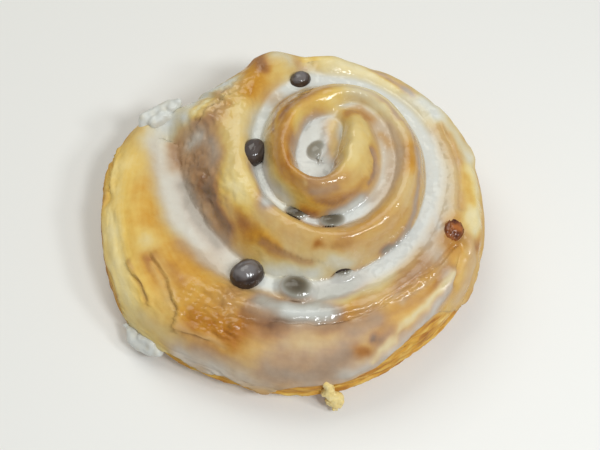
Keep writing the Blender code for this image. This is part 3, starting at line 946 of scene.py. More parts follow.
OUTER_TURN_RIGHT = (
    Stroke((
        (12.1, -33.1, 22.2), (17, -30.4, 22), (23.3, -28.9, 22.7), (29.1, -26.7, 23.4),
    ), 3.2, 0.08, 0.49),
    Stroke(((9.8, -36.6, 22.9), (15.4, -36.5, 22.8), (20.3, -34.9, 23.4)), 2.6, 0.53, 0.11),
    Stroke(((22, -33.1, 23.6), (28.3, -30.8, 23.9)), 3.2, 0.43, 0.36),
    Stroke(((31.2, -28.6, 24), (35.7, -24.5, 24.2), (40.2, -20.1, 24.5)), 3.6, 0.64, 0.3),
    Stroke((
        (24.6, -40.5, 22.6), (29.5, -37.2, 22.9), (35.4, -33, 23.3), (39.9, -28.2, 23.1),
    ), 2.8, 0.5, 0.18),
    Stroke(((18.1, -42.1, 22.7), (23.8, -38.5, 22.9)), 3.5, 0.65, 0.42),
    Stroke(((43.1, -21, 23.7), (45.1, -17.9, 24), (46.9, -15.9, 24)), 3.0, 0.47, 0),
    Stroke(((41.9, -28.2, 23.3), (45, -24.1, 23.4)), 3.0, 0.58, 0.06),
    Stroke(((23.5, -44.1, 21.2),), 1.3, 0.88, 0.29),
    Stroke(((21.2, -47.2, 19.3), (19, -47, 20.2)), 2.0, 0.64, 0.01),
    Stroke(((29.5, -41.7, 20.7), (25.2, -44.6, 20.3)), 2.0, 0.66, 0.26),
    Stroke((
        (15.4, -52, 14.7), (23.3, -48.4, 16.2), (30.2, -43.8, 17.7), (34.9, -40.2, 18.1),
        (38.6, -35.9, 20.2), (43.7, -30.2, 21.5), (46.1, -24.9, 23),
    ), 2.4, 0.69, 0.73),
    Stroke((
        (51.3, -12.3, 24), (52.7, -17.4, 21.3), (51.3, -23.7, 17.5), (47.8, -29.4, 15.9),
    ), 3.2, 0.45, 0.48),
    Stroke(((50.2, -15.5, 23.8), (49.3, -21.4, 22.6), (47.8, -26.7, 20.2)), 1.4, 0.39, 0.22),
    Stroke(((55.3, -9.8, 21.6), (54.5, -13.8, 20.7)), 2.2, 0.64, 0.18),
    Stroke(((45.6, -9.3, 26.4), (48, -12.6, 26.4), (46.4, -14.3, 24.7)), 3.8, 0.6, 0.12, 0.93),
    Stroke(((40.6, -13.9, 24), (42, -19.2, 24.5)), 3.6, 0.56, 0.61),
    Stroke(((52.9, -1.9, 24.4), (53.8, -5.2, 24.2), (54.2, -8.9, 23.5)), 2.4, 0, 0.97),
    Stroke(((42.9, -5.9, 24.2), (42.9, -9.4, 24.4)), 2.4, 0.59, 0.81),
)
OUTER_TURN_BACK = (
    Stroke(((5.9, 49.2, 26.9), (10.7, 47.5, 27), (17, 45.3, 26.8)), 3.6, 0, 0),
    Stroke(((17, 46.5, 27.3), (24.8, 43.6, 26.9), (32.5, 38.4, 26.6), (39.9, 31.4, 26.7)), 4.5, 0.09, 0.59),
    Stroke(((26.1, 45.6, 27.4), (32.5, 41.4, 27.3), (37.7, 36.8, 27.1)), 1.5, 0.79, 0.61),
    Stroke(((40.9, 34.1, 27.1), (45, 28.6, 26.9), (49.3, 21.5, 25.8), (52.8, 14.2, 24.7)), 3.2, 0, 0.97),
    Stroke((
        (45.7, 25.2, 26.5), (48.7, 18.7, 26.1), (51, 11.8, 25.6), (51.8, 4.3, 25), (50.6, -3, 25.7),
    ), 2.2, 0.58, 0.29),
    Stroke(((42.5, 20.5, 25.2), (45.2, 13.3, 25), (46.4, 4.4, 24.9), (45.6, -2.6, 24.9)), 4.0, 0.38, 0.69),
    Stroke(((54.1, 9.6, 24), (54.7, 1.6, 23.8), (54, -7.8, 23.9)), 3.4, 0.07, 0.26),
    Stroke(((52.6, 7, 24.8), (53.3, -0.5, 24.3)), 2.0, 0.4, 0.17),
    Stroke(((6.6, 50.3, 26.5), (8.5, 46.2, 26.6)), 2.2, 0.3, 0),
)
SECOND_TURN_LEFT = (
    Stroke((
        (-14.1, 31.7, 31.4), (-16.5, 19.6, 31.8), (-16.1, 6.8, 32.2), (-12.4, -3.1, 31.4),
    ), 5.5, 0.23, 0.31),
    Stroke(((-10.9, 42.3, 30.7), (-12.1, 37.5, 30.9), (-12.6, 34.3, 31)), 4.2, 0.52, 0),
    Stroke(((-6.6, 44.1, 30.3), (-2.3, 43.9, 28.6), (0.3, 40.9, 28.5)), 3.6, 0.27, 0.24),
    Stroke(((-17.2, 1, 30.3), (-12.9, -6.3, 29.5), (-8.2, -12.2, 29.3)), 5.0, 0.07, 0),
    Stroke(((-16, -7.2, 26.4), (-13, -10.7, 26.7), (-11.2, -12.8, 26.8)), 3.0, 0.73, 0.05),
    Stroke(((-18.7, -2.4, 27.4), (-17.2, -6.5, 25.8)), 2.5, 0.41, 0.32),
    Stroke(((-9.9, 49.1, 28.5), (-8.2, 44.6, 30.7)), 2.6, 0.73, 0.13),
    Stroke(((-5.1, 49.3, 29.8), (-0.4, 48.5, 28.7)), 2.6, 0.2, 0.63),
    Stroke(((1.8, 48.5, 27.8), (3.7, 46.7, 27)), 2.2, 0.48, 0.36),
)
FLANK = (
    Stroke((
        (-21.3, 35.1, 29.9), (-27.9, 28.4, 28.7), (-32, 23, 21.4), (-30.1, 11.6, 22), (-24.7, 0.3, 23.1),
    ), 9.5, 0.51, 0.46),
    Stroke(((-26.3, 26, 29), (-30, 18.2, 23.1), (-26.4, 5.2, 23.7)), 6, 0.65, 0.31),
    Stroke(((-20.3, 33.5, 30.6), (-24.4, 31.4, 28.7), (-27.3, 28.3, 28.9)), 1.8, 0.33, 0.42),
    Stroke(((-19.3, 30.2, 30.5), (-21.1, 28.2, 30.6)), 1.6, 0.57, 0.31),
    Stroke(((-24.6, 18.9, 27.5), (-27.7, 17.5, 25.3)), 1.5, 0.62, 0.32),
    Stroke(((-26.7, 7.3, 24.3), (-27.4, 5.7, 22.9)), 1.6, 0.73, 0.18),
    Stroke(((-31.2, 21.9, 22), (-27.9, 21.9, 25.3)), 3.0, 0.6, 0.72),
    Stroke(((-23.6, 18.3, 28.4), (-22.4, 11.5, 28.9)), 3.4, 0.75, 0.56),
    Stroke((
        (-33.3, 30.3, 25), (-30.2, 38.5, 21.2), (-24.3, 39.8, 25.7), (-18.5, 40.5, 29),
    ), 3.0, 0, 0.97),
    Stroke(((-29.3, 30, 27.6), (-26.4, 33.9, 26.9)), 2.2, 0, 0),
    Stroke(((-24.1, 2.6, 24.9), (-21.5, -3.7, 24), (-19.1, -8.9, 22.3)), 3.2, 0.83, 0.27),
)
SECOND_TURN_FRONT = (
    Stroke((
        (-8.2, -9.3, 30.6), (-1.5, -15.1, 30.8), (7, -18.1, 31.5), (16.9, -18.3, 31.9),
    ), 6.0, 0.42, 0.36),
    Stroke(((-10, -14.1, 26.7), (-4.4, -18.5, 26.3), (2.2, -20.8, 26.4)), 2.2, 0.48, 0),
    Stroke(((-11.8, -12.7, 26.5), (-8.2, -14.9, 27)), 2.0, 0.52, 0),
    Stroke(((7.9, -19.1, 30.4),), 1.8, 0.68, 0),
    Stroke(((13.5, -19.4, 31.4), (19.8, -16.2, 32.7), (25.5, -12, 33.5)), 3.0, 0.59, 0.19),
    Stroke(((15.6, -22.2, 25.9), (21.4, -19.6, 27.1), (27.2, -15.9, 27.6)), 3.6, 0.38, 0.53),
    Stroke(((11.3, -22.4, 26.2), (15.6, -22.5, 25.2)), 3.0, 0.13, 0.71),
    Stroke(((22.1, -17.3, 30.1), (29.1, -12.2, 31.5), (33.9, -5.4, 32.5)), 4.5, 0.45, 0.33),
    Stroke(((27.4, -17.5, 23.2), (31.4, -14.7, 23), (34.4, -10.9, 23.5)), 2.0, 0.94, 0.46),
)
SECOND_TURN_RIGHT = (
    Stroke(((32, 22, 36.1), (34.5, 13.1, 36), (34.8, 5, 35), (33, -3.2, 34.4)), 4.6, 0.37, 0.42),
    Stroke(((34.4, 10.5, 35.6), (34.3, 5.9, 35.1)), 3.2, 0.52, 0),
    Stroke(((24.3, 26.8, 37.1), (29.6, 22.8, 36.6)), 5.0, 0, 0.45),
    Stroke((
        (10.3, 30.9, 38), (16.3, 30.7, 38.4), (22.2, 29.4, 38.1), (28.2, 26.1, 37.1), (33.2, 21.2, 35.7),
        (36.6, 15.1, 34.1),
    ), 1.3, 0.59, 0.55),
    # Grey-brown line down the steep right flank into the pool: partly the crust's brown edge, partly
    # painted shadow.
    Stroke(((37.4, 11.5, 33), (37.3, 2.2, 31.2), (36.1, -5.8, 27.4), (32.5, -12.7, 24.1)), 1.8, 0.68, 0.52),
    Stroke(((16.3, 28.3, 37.1), (20.8, 27.7, 36.8)), 4.0, 0.2, 0.72),
    Stroke(((2.7, 25.7, 38.6), (6.3, 28, 38.5), (9.9, 28.7, 38.5)), 3.4, 0.57, 0.26),
    Stroke(((-2, 21.9, 37.8), (-0.3, 26.6, 36.4), (2.7, 27.5, 37.7)), 2.0, 0.84, 0.12),
)
FIRST_TURN = (
    Stroke(((-0.2, 18.7, 39.3), (-1.6, 11.2, 38.7), (-1.9, 3, 38.1), (1, -2.7, 36.2)), 4.6, 0.55, 0.12),
    Stroke(((-1.3, 7.8, 38.7), (-1, 2.5, 38.9), (0.4, -1.1, 37.5)), 2.0, 0.6, 0.03),
    Stroke(((-0.1, -3.1, 33.1), (4.2, -6, 33.4), (9.1, -7.2, 33.7)), 4.0, 0.35, 0.07),
    Stroke(((6.2, -2.4, 39.5), (11.3, -2.6, 40), (17, 0.8, 39.9), (19.4, 4.2, 39.9)), 4.5, 0.64, 0.29),
    Stroke(((7.9, -6.7, 34.6), (13.1, -6.4, 34.6), (17.7, -4, 35.1), (20.9, -0.4, 35.8)), 1.7, 0.64, 0.19),
    Stroke(((5.9, -5, 37.3), (9, -5.5, 37.6), (12.4, -4.7, 37.9)), 1.6, 0.64, 0.4),
    Stroke(((4.2, 21.1, 35.9), (8.1, 25.2, 37.3), (13.2, 27.4, 37.3)), 4.0, 0.27, 0.06),
    Stroke(((2.7, 18.5, 36), (3.6, 21.7, 38.1)), 3.0, 0, 0),
)
HEAD = (
    Stroke(((16.1, 20.8, 36.3), (17.9, 12, 40.1), (17.7, 4.9, 40.4)), 7.0, 0.2, 0.31),
    Stroke(((23.8, 9.2, 36.6), (25, 7.3, 35.1), (25.2, 4.7, 33.8), (24, 1.8, 34)), 1.5, 0.68, 0.4),
)
MILKY_SPOTS = (
    Stroke(((-41.1, 24.5, 18.1), (-40.3, 29.2, 19.1), (-38.4, 32.3, 21.8)), 4.0, 0, 0.97),
    Stroke(((1.9, -6.2, 29.3), (5.9, -8.6, 28.2)), 2.4, 0.77, 0.06),
    Stroke(((-0.7, -19, 27.3), (3.6, -20.8, 27), (9, -21.6, 27.2)), 2.6, 0.35, 0.42),
    Stroke(((-2.3, -48.5, 20), (2.7, -49.8, 19.6)), 3.6, 0.61, 0.43),
    Stroke(((16.3, 46.5, 27.3), (23.9, 43.7, 26.8), (31.6, 39.2, 26.6)), 2.4, 0, 0.09),
    Stroke(((45.7, 24.1, 26.4), (50.1, 16.2, 26.1)), 3.0, 0.43, 0.32),
)
CREASES = (
    Stroke((
        (-47.8, -19, 19.9), (-45.5, -23.3, 19.9), (-43.2, -27.4, 19.8), (-41.2, -30.8, 19.4),
    ), 0.9, 0.41, 0.27),
    Stroke((
        (-40.3, -19.8, 21.3), (-37.7, -25.5, 21.1), (-35.1, -31.1, 20.8), (-32.8, -36.2, 20.2),
        (-32.2, -39.4, 19),
    ), 1.0, 0.4, 0.27),
    Stroke((
        (-32.2, -39.7, 18.8), (-27.8, -41.6, 19.1), (-23.2, -43.2, 19.2), (-18.6, -45.4, 19.1),
    ), 1.0, 0.49, 0.31),
    Stroke(((-1.1, 15.2, 39.1), (-2.2, 9.3, 39), (-2.2, 3.9, 38.2), (-0.7, -0.5, 36.6)), 0.9, 0.51, 0.14),
    Stroke(((0.7, 14.1, 37.1), (-0.2, 8.9, 36.9), (0.2, 2.3, 39.1), (1.9, -2.1, 38)), 0.8, 0.54, 0.17),
    Stroke(((2.2, 15, 33.2), (1.6, 11, 32.8), (2.2, 2.4, 37.3), (3.9, -3.1, 38.6)), 0.7, 0.4, 0.44),
    Stroke(((-8.2, -16, 26), (-3.6, -19.2, 25.8), (0.4, -21.1, 25.7), (5, -22.1, 25.8)), 1.5, 0.61, 0.26),
    Stroke(((8.8, -6.9, 34.3), (13.1, -6.7, 34), (17.4, -4.7, 34.5)), 0.8, 0.66, 0.24),
    Stroke((
        (44.9, -20.8, 23.3), (41.2, -25.4, 23.4), (36.4, -29.6, 22.9), (31.6, -33.8, 23.1),
    ), 0.9, 0.51, 0.39),
    Stroke((
        (46.5, -24, 23.2), (41.8, -30.2, 22.6), (35.3, -36.4, 21.9), (29.8, -42.3, 19.9),
        (22.5, -48.5, 16.7),
    ), 0.9, 0.24, 0.56),
    Stroke(((1.5, 39, 26.8), (-2.8, 34.7, 27.4), (-4.8, 26.2, 31.8), (-5.5, 16.8, 35.8)), 0.9, 0.66, 0.35),
    Stroke(((25.3, 6.9, 34.7), (24.3, 2.9, 34.4), (22.5, -0.2, 34)), 0.8, 0.68, 0.37),
    Stroke(((-13, 46.4, 28.4), (-9.3, 49.6, 28.5), (-6.8, 51.1, 28.1)), 1.0, 0.65, 0.19),
)
# Brush lines on the icing itself, the narrow ones last. Three of them darken the front pools,
# partly thin icing over dark dough and partly painted shade; one paints a highlight on the front pool's
# edge.
POOL_TINTS_SHADE_AND_GLINT = (
    Stroke((
        (25.2, 20.6, 34.4), (27.7, 14.7, 33.6), (29.9, 9.8, 33), (29.7, 4.2, 32.5),
    ), 3.4, 0.51, 0.6, 0.85),
    Stroke(((17.6, 22.9, 36.9), (20.7, 24.1, 35.3), (23.1, 21.8, 34.8)), 2.6, 0.6, 0.21, 0.92),
    Stroke((
        (-42.5, 23.8, 18.7), (-38.9, 10.2, 18.5), (-34, -2.3, 18.6), (-25.4, -11.9, 18.6),
        (-17.3, -17.1, 18.8),
    ), 4.2, 0.47, 0.83, 0.85),
    # Darker front pool: partly thin icing over dark dough, partly painted shade.
    Stroke(((-8.1, -32.3, 21.8), (-1.5, -35.1, 22.4), (6.1, -35.1, 22.5)), 3.6, 0.95, 0.79, 0.8),
    # Darker front pool: partly thin icing over dark dough, partly painted shade.
    Stroke(((9, -30.5, 20.8), (14.2, -28.1, 21), (20, -25.8, 21.6)), 3.2, 0.95, 0.76, 0.7),
    Stroke(((-6, -22.1, 20.9), (-0.1, -23.3, 21.9), (7.1, -24.2, 22.4)), 3.2, 0, 0.97, 0.8),
    Stroke(((-6.1, 3.9, 31.3), (-3.1, -1.1, 31), (0.4, -4.9, 30)), 3.0, 0.03, 0, 0.8),
    Stroke(((6.3, 19.2, 33.3), (5.1, 11.4, 33.3), (8.6, 6.5, 32.7)), 5.0, 0.95, 0.89, 0.85),
    Stroke(((29, 19.4, 34.6), (31.1, 11, 33.8), (29, 1.6, 32.1), (23.7, -4.4, 30.8)), 3.0, 0.57, 0.58, 0.8),
    Stroke((
        (-8.9, 26.8, 27.9), (-10.6, 20.5, 27.9), (-6.7, 3.7, 28.8), (-1.6, -3.4, 29.1),
    ), 4.0, 0.2, 0.97, 0.85),
    Stroke(((2.7, 23.2, 39.5), (-5, 34.7, 27.4)), 3.0, 0.61, 0.3, 0.5),
    Stroke(((-10.4, 7.9, 27.8), (-8.5, 2.4, 27.5), (-6.5, -4.5, 31)), 3.0, 0.94, 0.85, 0.9),
    Stroke(((12.6, -9.5, 30.3), (16.4, -7.7, 30.1), (20.1, -4.7, 31.3)), 2.6, 0.95, 0.97, 0.9),
    # Darker front pool: partly thin icing over dark dough, partly painted shade.
    Stroke(((17.1, -27.2, 21.3), (12.8, -28.7, 20.9), (7.9, -29.4, 20.6)), 2.2, 0.95, 0.76, 0.8),
    Stroke(((-36.6, 23.1, 18.1), (-35.2, 15.7, 18.6)), 3.0, 0.69, 0.25, 0.9),
    Stroke((
        (-33, 9.4, 18.7), (-29.9, 1.2, 18.6), (-26, -6.1, 18.5), (-21.3, -12.6, 18.6),
    ), 2.6, 0.86, 0.5, 0.85),
    Stroke(((-25.2, -16, 18.7), (-20.7, -20.4, 18.8)), 3.0, 0.54, 0.64, 0.8),
    # Painted highlight: a nearly white veil where the wet glaze at the front pool's edge shines.
    Stroke(((-0.1, -36.1, 22.6), (5.8, -37, 22.6), (10.6, -36.3, 22.9)), 3.2, 0.95, 0.97, 0.85),
    Stroke((
        (12.6, 20.6, 34.5), (11.9, 15.9, 34.5), (12.8, 11.4, 33.3), (14.1, 5.4, 37.1),
    ), 2.4, 0.35, 0.35, 0.9),
    Stroke(((27.1, 16.7, 33.9), (28.3, 14.7, 33.6), (29.1, 12.8, 33.3)), 1.4, 0.52, 0.38, 0.9),
)
STROKES = (
    *OUTER_TURN_LEFT,
    *OUTER_TURN_FRONT,
    *OUTER_TURN_RIGHT,
    *OUTER_TURN_BACK,
    *CARAMEL,
    *FLANK,
    *SECOND_TURN_LEFT,
    *SECOND_TURN_FRONT,
    *SECOND_TURN_RIGHT,
    *FIRST_TURN,
    *HEAD,
    *MILKY_SPOTS,
    *CREASES,
)


@dataclass
class Bake:
    """How brown the dough is and how far glaze hides it, from place to place.

    Attributes:
        dry_patches: where the glaze has dried, or is wet where their height is negative.
        film: depth of icing that hides the crust by about two thirds.
        shore: how gently a pool feathers out; soft_shore: the same for the veil it casts.
        stray_sizes: wavelength and height of each layer by which brush lines wander.
        top_levels, wall_levels: toast and veil of the top and the wall where no stroke lies.
        bare_levels: toast and veil of the wall under the coat's edge.
    """

    coil: Coil
    strokes: tuple[Stroke, ...] = STROKES
    tints_shade_and_glint: tuple[Stroke, ...] = POOL_TINTS_SHADE_AND_GLINT
    dry_patches: tuple[Ridge, ...] = DRY_PATCHES
    film: float = 0.9
    shore: float = 0.35
    soft_shore: float = 0.8
    shore_fade: float = 1.6
    stray_sizes: tuple[tuple[float, float], ...] = ((6.0, 1.1), (2.0, 0.4))
    stray_seeds: tuple[float, float, float] = (11, 47, 83)
    top_levels: tuple[float, float] = (0.4, 0.22)
    wall_levels: tuple[float, float] = (0.52, 0.02)
    toast_mottle: float = 0.04
    veil_mottle: float = 0.12
    strand: float = 0.03
    strand_sizes: tuple[float, float] = (1.5, 16.0)
    most_toast: float = 0.9
    most_veil: float = 0.97
    bare_levels: tuple[float, float] = (0.46, 0.05)
    leaf_toast: float = 0.26
    leaf_sizes: tuple[float, float] = (8.0, 1.3)
    dry_radii: tuple[float, float] = (34.0, 44.0)
    dry_share: float = 0.55
    dry_edges: tuple[float, float] = (0.35, 0.65)
    dry_mottle: float = 0.22

    def pool(self, skin: Skin, shore: float) -> np.ndarray:
        """Depth of the icing lying in the grooves, feathering to nothing past its shore.

        Args:
            skin: places on the dough.
            shore: how gently it feathers out, in millimetres.

        Returns:
            Depths in millimetres.
        """
        deep = (skin.section.level - skin.section.height) / shore
        return shore * np.logaddexp(0.0, deep) * (skin.along <= 1)

    def strayed(self, points: np.ndarray) -> np.ndarray:
        """Shifts places a little, so that brush lines wander.

        Args:
            points: (n, 3) places in millimetres.

        Returns:
            The shifted places.
        """
        (wide, far), (fine, near) = self.stray_sizes
        shift = [
            far * grain(points, wide, seed) + near * grain(points, fine, seed + 5)
            for seed in self.stray_seeds
        ]
        return points + np.stack(shift, 1)

    def levels(self, skin: Skin, tops: np.ndarray | None = None) -> tuple[np.ndarray, np.ndarray]:
        """The bake and the glaze.

        Args:
            skin: places on the dough.
            tops: where the icing's surface lies over each of them, if not on the dough.

        Returns:
            Toast, 0 where the crust is pale crumb and 1 where it is nearly burnt; and veil, 0
            where it is bare and 1 where icing hides it.
        """
        points = skin.points
        places = self.strayed(points)
        wall = smoothstep(1.0, 1.25, skin.along)
        toast, veil = [
            top + (side - top) * wall for top, side in zip(self.top_levels, self.wall_levels)
        ]
        for stroke in self.strokes:
            weight = stroke.weight(places)
            toast += (stroke.toast - toast) * weight
            veil += (stroke.veil - veil) * weight
        toast += self.toast_mottle * grain(points, 6.0, 21.0, 3) + self.strands(skin)
        veil *= 1 + self.veil_mottle * grain(points, 5.0, 71.0, 2)
        flooded = 1 - np.exp(-((self.pool(skin, self.soft_shore) / self.film) ** self.shore_fade))
        veil = 1 - (1 - np.clip(veil, 0.0, 1.0)) * (1 - flooded)
        tinted = places if tops is None else tops + places - points
        # Some of these strokes paint shade on the front pools, and one paints a highlight, through toast
        # and veil.
        for tint in self.tints_shade_and_glint:
            weight = tint.weight(tinted)
            toast += (tint.toast - toast) * weight
            veil += (tint.veil - veil) * weight
        return np.clip(toast, 0.0, self.most_toast), np.clip(veil, 0.0, self.most_veil)

    def strands(self, skin: Skin) -> np.ndarray:
        """Brown strands that run along the strip, where its leaves show at the surface.

        Args:
            skin: places on the dough.

        Returns:
            What they add to the toast.
        """
        section = skin.section
        width, length = self.strand_sizes
        half_strip = 9.0
        arc = np.radians(section.turn) * np.maximum(skin.radius, 6.0)
        run = np.stack([section.across * half_strip / width, arc / length, 0 * arc], 1)
        return self.strand * grain(run, 1.0, 5.0, 2) * smoothstep(1.02, 0.98, skin.along)

    def paint(
        self,
        piece: bpy.types.Object,
        skin: Skin,
        extra: float | np.ndarray = 0.0,
        bare: float | np.ndarray = 0.0,
    ) -> None:
        """Keeps the bake and the veil of glaze on a piece, one value of each for each point.

        Args:
            piece: the mesh object.
            skin: where each of its points lies on the dough.
            extra: icing that the piece itself adds, in millimetres.
            bare: how far each point lies below the icing, on the bare wall.
        """
        toast, veil = self.levels(skin)
        bare_toast, bare_veil = self.bare_levels
        length, thickness = self.leaf_sizes
        arc = wall_arc(skin)
        layers = np.stack([arc / length, skin.points[:, 2] / thickness, 0 * arc], 1)
        toast += (bare_toast + self.leaf_toast * grain(layers, 1.0, 33.0, 3) - toast) * bare
        veil += (bare_veil - veil) * bare
        store(piece, "toast", toast)
        store(piece, "veil", 1 - (1 - veil) * np.exp(-extra / self.film))
        store(piece, "dry", self.dryness(skin))

    def dryness(self, skin: Skin) -> np.ndarray:
        """How far the glaze has dried and lost its gloss.

        Args:
            skin: places on the dough.

        Returns:
            0 where it is wet, 1 where it is dry.
        """
        dry = smoothstep(*self.dry_radii, skin.radius) * self.dry_share
        for patch in self.dry_patches:
            goal = np.sign(patch.height) * 0.5 + 0.5
            dry = dry + (goal - dry) * np.abs(patch.at(skin.points))
        mottle = self.dry_mottle * grain(skin.points, 4.0, 61.0, 2)
        return smoothstep(*self.dry_edges, dry + mottle)


# ---------------------------------------------------------------- finishes


def add_node(
    tree: bpy.types.NodeTree,
    kind: str,
    settings: dict[str, object] | None = None,
    inputs: dict[str | int, object] | None = None,
) -> bpy.types.Node:
    """Adds one shader node.

    Args:
        tree: the material's node tree.
        kind: the node's type without its ShaderNode prefix.
        settings: properties to set.
        inputs: values for its sockets, or an output socket to link to each.

    Returns:
        The node.
    """
    node = tree.nodes.new("ShaderNode" + kind)
    for name, value in (settings or {}).items():
        setattr(node, name, value)
    for name, value in (inputs or {}).items():
        if isinstance(value, bpy.types.NodeSocket):
            tree.links.new(value, node.inputs[name])
        else:
            node.inputs[name].default_value = value
    return node


def new_material(name: str) -> tuple[bpy.types.Material, bpy.types.NodeTree, bpy.types.Node]:
    """Starts a material.

    Args:
        name: the finish's name.

    Returns:
        The material, its node tree and its Principled shader.
    """
    made = bpy.data.materials.new(name)
    made.use_nodes = True
    return made, made.node_tree, made.node_tree.nodes["Principled BSDF"]


@dataclass(frozen=True)
class GlazedCrust:
    """Laminated yeast dough baked golden, brushed with sugar glaze and iced while warm.

    The eye gets pale yellow crumb turning golden and then brown, greyed wherever icing lies
    over it, and a wet gloss that breaks up where the crust is bare.
    """

    name: str = "baked_dough_sugar_glaze"
    bakes: tuple[tuple[float, str], ...] = (
        (0.0, "#f2e3b2"),
        (0.15, "#ecd48e"),
        (0.3, "#e1bb5c"),
        (0.45, "#cd952f"),
        (0.6, "#a96a1d"),
        (0.74, "#78421a"),
        (0.87, "#492412"),
        (1.0, "#17110f"),
    )
    thin_icing: str = "#a0946c"
    icing: str = "#d3d5d0"
    ior: float = 1.48
    specular: float = 0.45
    bare_roughness: float = 0.62
    glazed_roughness: float = 0.09
    freckle: float = 2.4
    freckle_strength: float = 0.022
    freckle_veil: float = -0.8
    grit: float = 0.8
    grit_depth: float = 0.00014
    grit_bare: float = 0.8
    grit_iced: float = 0.12
    ripple: float = 3.6
    ripple_depth: float = 0.0006
    ripple_strength: float = 0.7

    def build(self) -> bpy.types.Material:
        """Makes the material, which reads the toast, veil and dryness of each point.

        Returns:
            The material.
        """
        made, tree, shader = new_material(self.name)
        place = add_node(tree, "TexCoord").outputs["Object"]
        veil = add_node(tree, "Attribute", {"attribute_name": "veil"}).outputs["Fac"]
        colour = self.colour(tree, place, veil)
        tree.links.new(colour, shader.inputs["Base Color"])
        dry = add_node(tree, "Attribute", {"attribute_name": "dry"}).outputs["Fac"]
        span = {"Value": dry, "To Min": self.glazed_roughness, "To Max": self.bare_roughness}
        gloss = add_node(tree, "MapRange", None, span)
        tree.links.new(gloss.outputs["Result"], shader.inputs["Roughness"])
        tree.links.new(self.surface(tree, place, veil), shader.inputs["Normal"])
        shader.inputs["IOR"].default_value = self.ior
        shader.inputs["Specular IOR Level"].default_value = self.specular
        return made

    def colour(
        self, tree: bpy.types.NodeTree, place: bpy.types.NodeSocket, veil: bpy.types.NodeSocket
    ) -> bpy.types.NodeSocket:
        """Browns the crust by its toast and lays icing over it by its veil.

        Args:
            tree: the material's node tree.
            place: the Object coordinates.
            veil: the veil of each point.

        Returns:
            The colour.
        """
        toast = add_node(tree, "Attribute", {"attribute_name": "toast"}).outputs["Fac"]
        fine = {"Vector": place, "Scale": 1 / (self.freckle * MM), "Detail": 4.0}
        freckles = add_node(tree, "TexNoise", None, fine).outputs["Fac"]
        most = self.freckle_strength
        span = {"Value": freckles, "From Min": 0.3, "From Max": 0.7, "To Min": -most, "To Max": most}
        spread = add_node(tree, "MapRange", None, span).outputs["Result"]
        adding = {"operation": "ADD", "use_clamp": True}
        browned = add_node(tree, "Math", adding, {0: toast, 1: spread})
        ramp = add_node(tree, "ValToRGB", None, {"Fac": browned.outputs[0]})
        stops = ramp.color_ramp.elements
        while len(stops) < len(self.bakes):
            stops.new(0.5)
        for stop, (position, shade) in zip(stops, self.bakes):
            stop.position = position
            stop.color = linear(shade)
        scaling = {"operation": "MULTIPLY_ADD", "use_clamp": True}
        thin = add_node(tree, "Math", scaling, {0: spread, 1: self.freckle_veil, 2: veil})
        cover = thin.outputs[0]
        whites = {0: cover, 6: linear(self.thin_icing), 7: linear(self.icing)}
        film = add_node(tree, "Mix", {"data_type": "RGBA"}, whites).outputs[2]
        layers = {0: cover, 6: ramp.outputs["Color"], 7: film}
        return add_node(tree, "Mix", {"data_type": "RGBA"}, layers).outputs[2]

    def surface(
        self, tree: bpy.types.NodeTree, place: bpy.types.NodeSocket, veil: bpy.types.NodeSocket
    ) -> bpy.types.NodeSocket:
        """Ripples the glaze, and roughens the crust where it is bare.

        Args:
            tree: the material's node tree.
            place: the Object coordinates.
            veil: the veil of each point.

        Returns:
            The normal.
        """
        fine = {"Vector": place, "Scale": 1 / (self.grit * MM), "Detail": 3.0}
        grit = add_node(tree, "TexNoise", None, fine).outputs["Fac"]
        span = {"Value": veil, "From Max": 0.5, "To Min": self.grit_bare, "To Max": self.grit_iced}
        bare = add_node(tree, "MapRange", None, span).outputs["Result"]
        wide = {"Vector": place, "Scale": 1 / (self.ripple * MM), "Detail": 1.5}
        ripples = add_node(tree, "TexNoise", None, wide).outputs["Fac"]
        flowing = {
            "Height": ripples,
            "Distance": self.ripple_depth,
            "Strength": self.ripple_strength,
        }
        flow = add_node(tree, "Bump", None, flowing).outputs["Normal"]
        rough = {"Height": grit, "Distance": self.grit_depth, "Strength": bare, "Normal": flow}
        return add_node(tree, "Bump", None, rough).outputs["Normal"]


@dataclass(frozen=True)
class RaisinSkin:
    """Soaked raisin skin under sugar glaze.

    The eye gets near-black brown with a cool gloss along the wrinkles, turning grey where
    icing has run over the raisin.
    """

    name: str = "raisin_skin_glazed"
    dark: str = "#1f1719"
    light: str = "#4d3d33"
    icing: str = "#a5a2a2"
    mottle: float = 2.0
    roughness: float = 0.12
    ior: float = 1.46

    def build(self) -> bpy.types.Material:
        """Makes the material, which reads the veil of icing of each point.

        Returns:
            The material.
        """
        made, tree, shader = new_material(self.name)
        place = add_node(tree, "TexCoord").outputs["Object"]
        veil = add_node(tree, "Attribute", {"attribute_name": "veil"}).outputs["Fac"]
        fine = {"Vector": place, "Scale": 1 / (self.mottle * MM), "Detail": 3.0}
        mottle = add_node(tree, "TexNoise", None, fine).outputs["Fac"]
        browns = {0: mottle, 6: linear(self.dark), 7: linear(self.light)}
        skin = add_node(tree, "Mix", {"data_type": "RGBA"}, browns).outputs[2]
        layers = {0: veil, 6: skin, 7: linear(self.icing)}
        colour = add_node(tree, "Mix", {"data_type": "RGBA"}, layers)
        tree.links.new(colour.outputs[2], shader.inputs["Base Color"])
        shader.inputs["Roughness"].default_value = self.roughness
        shader.inputs["IOR"].default_value = self.ior
        return made


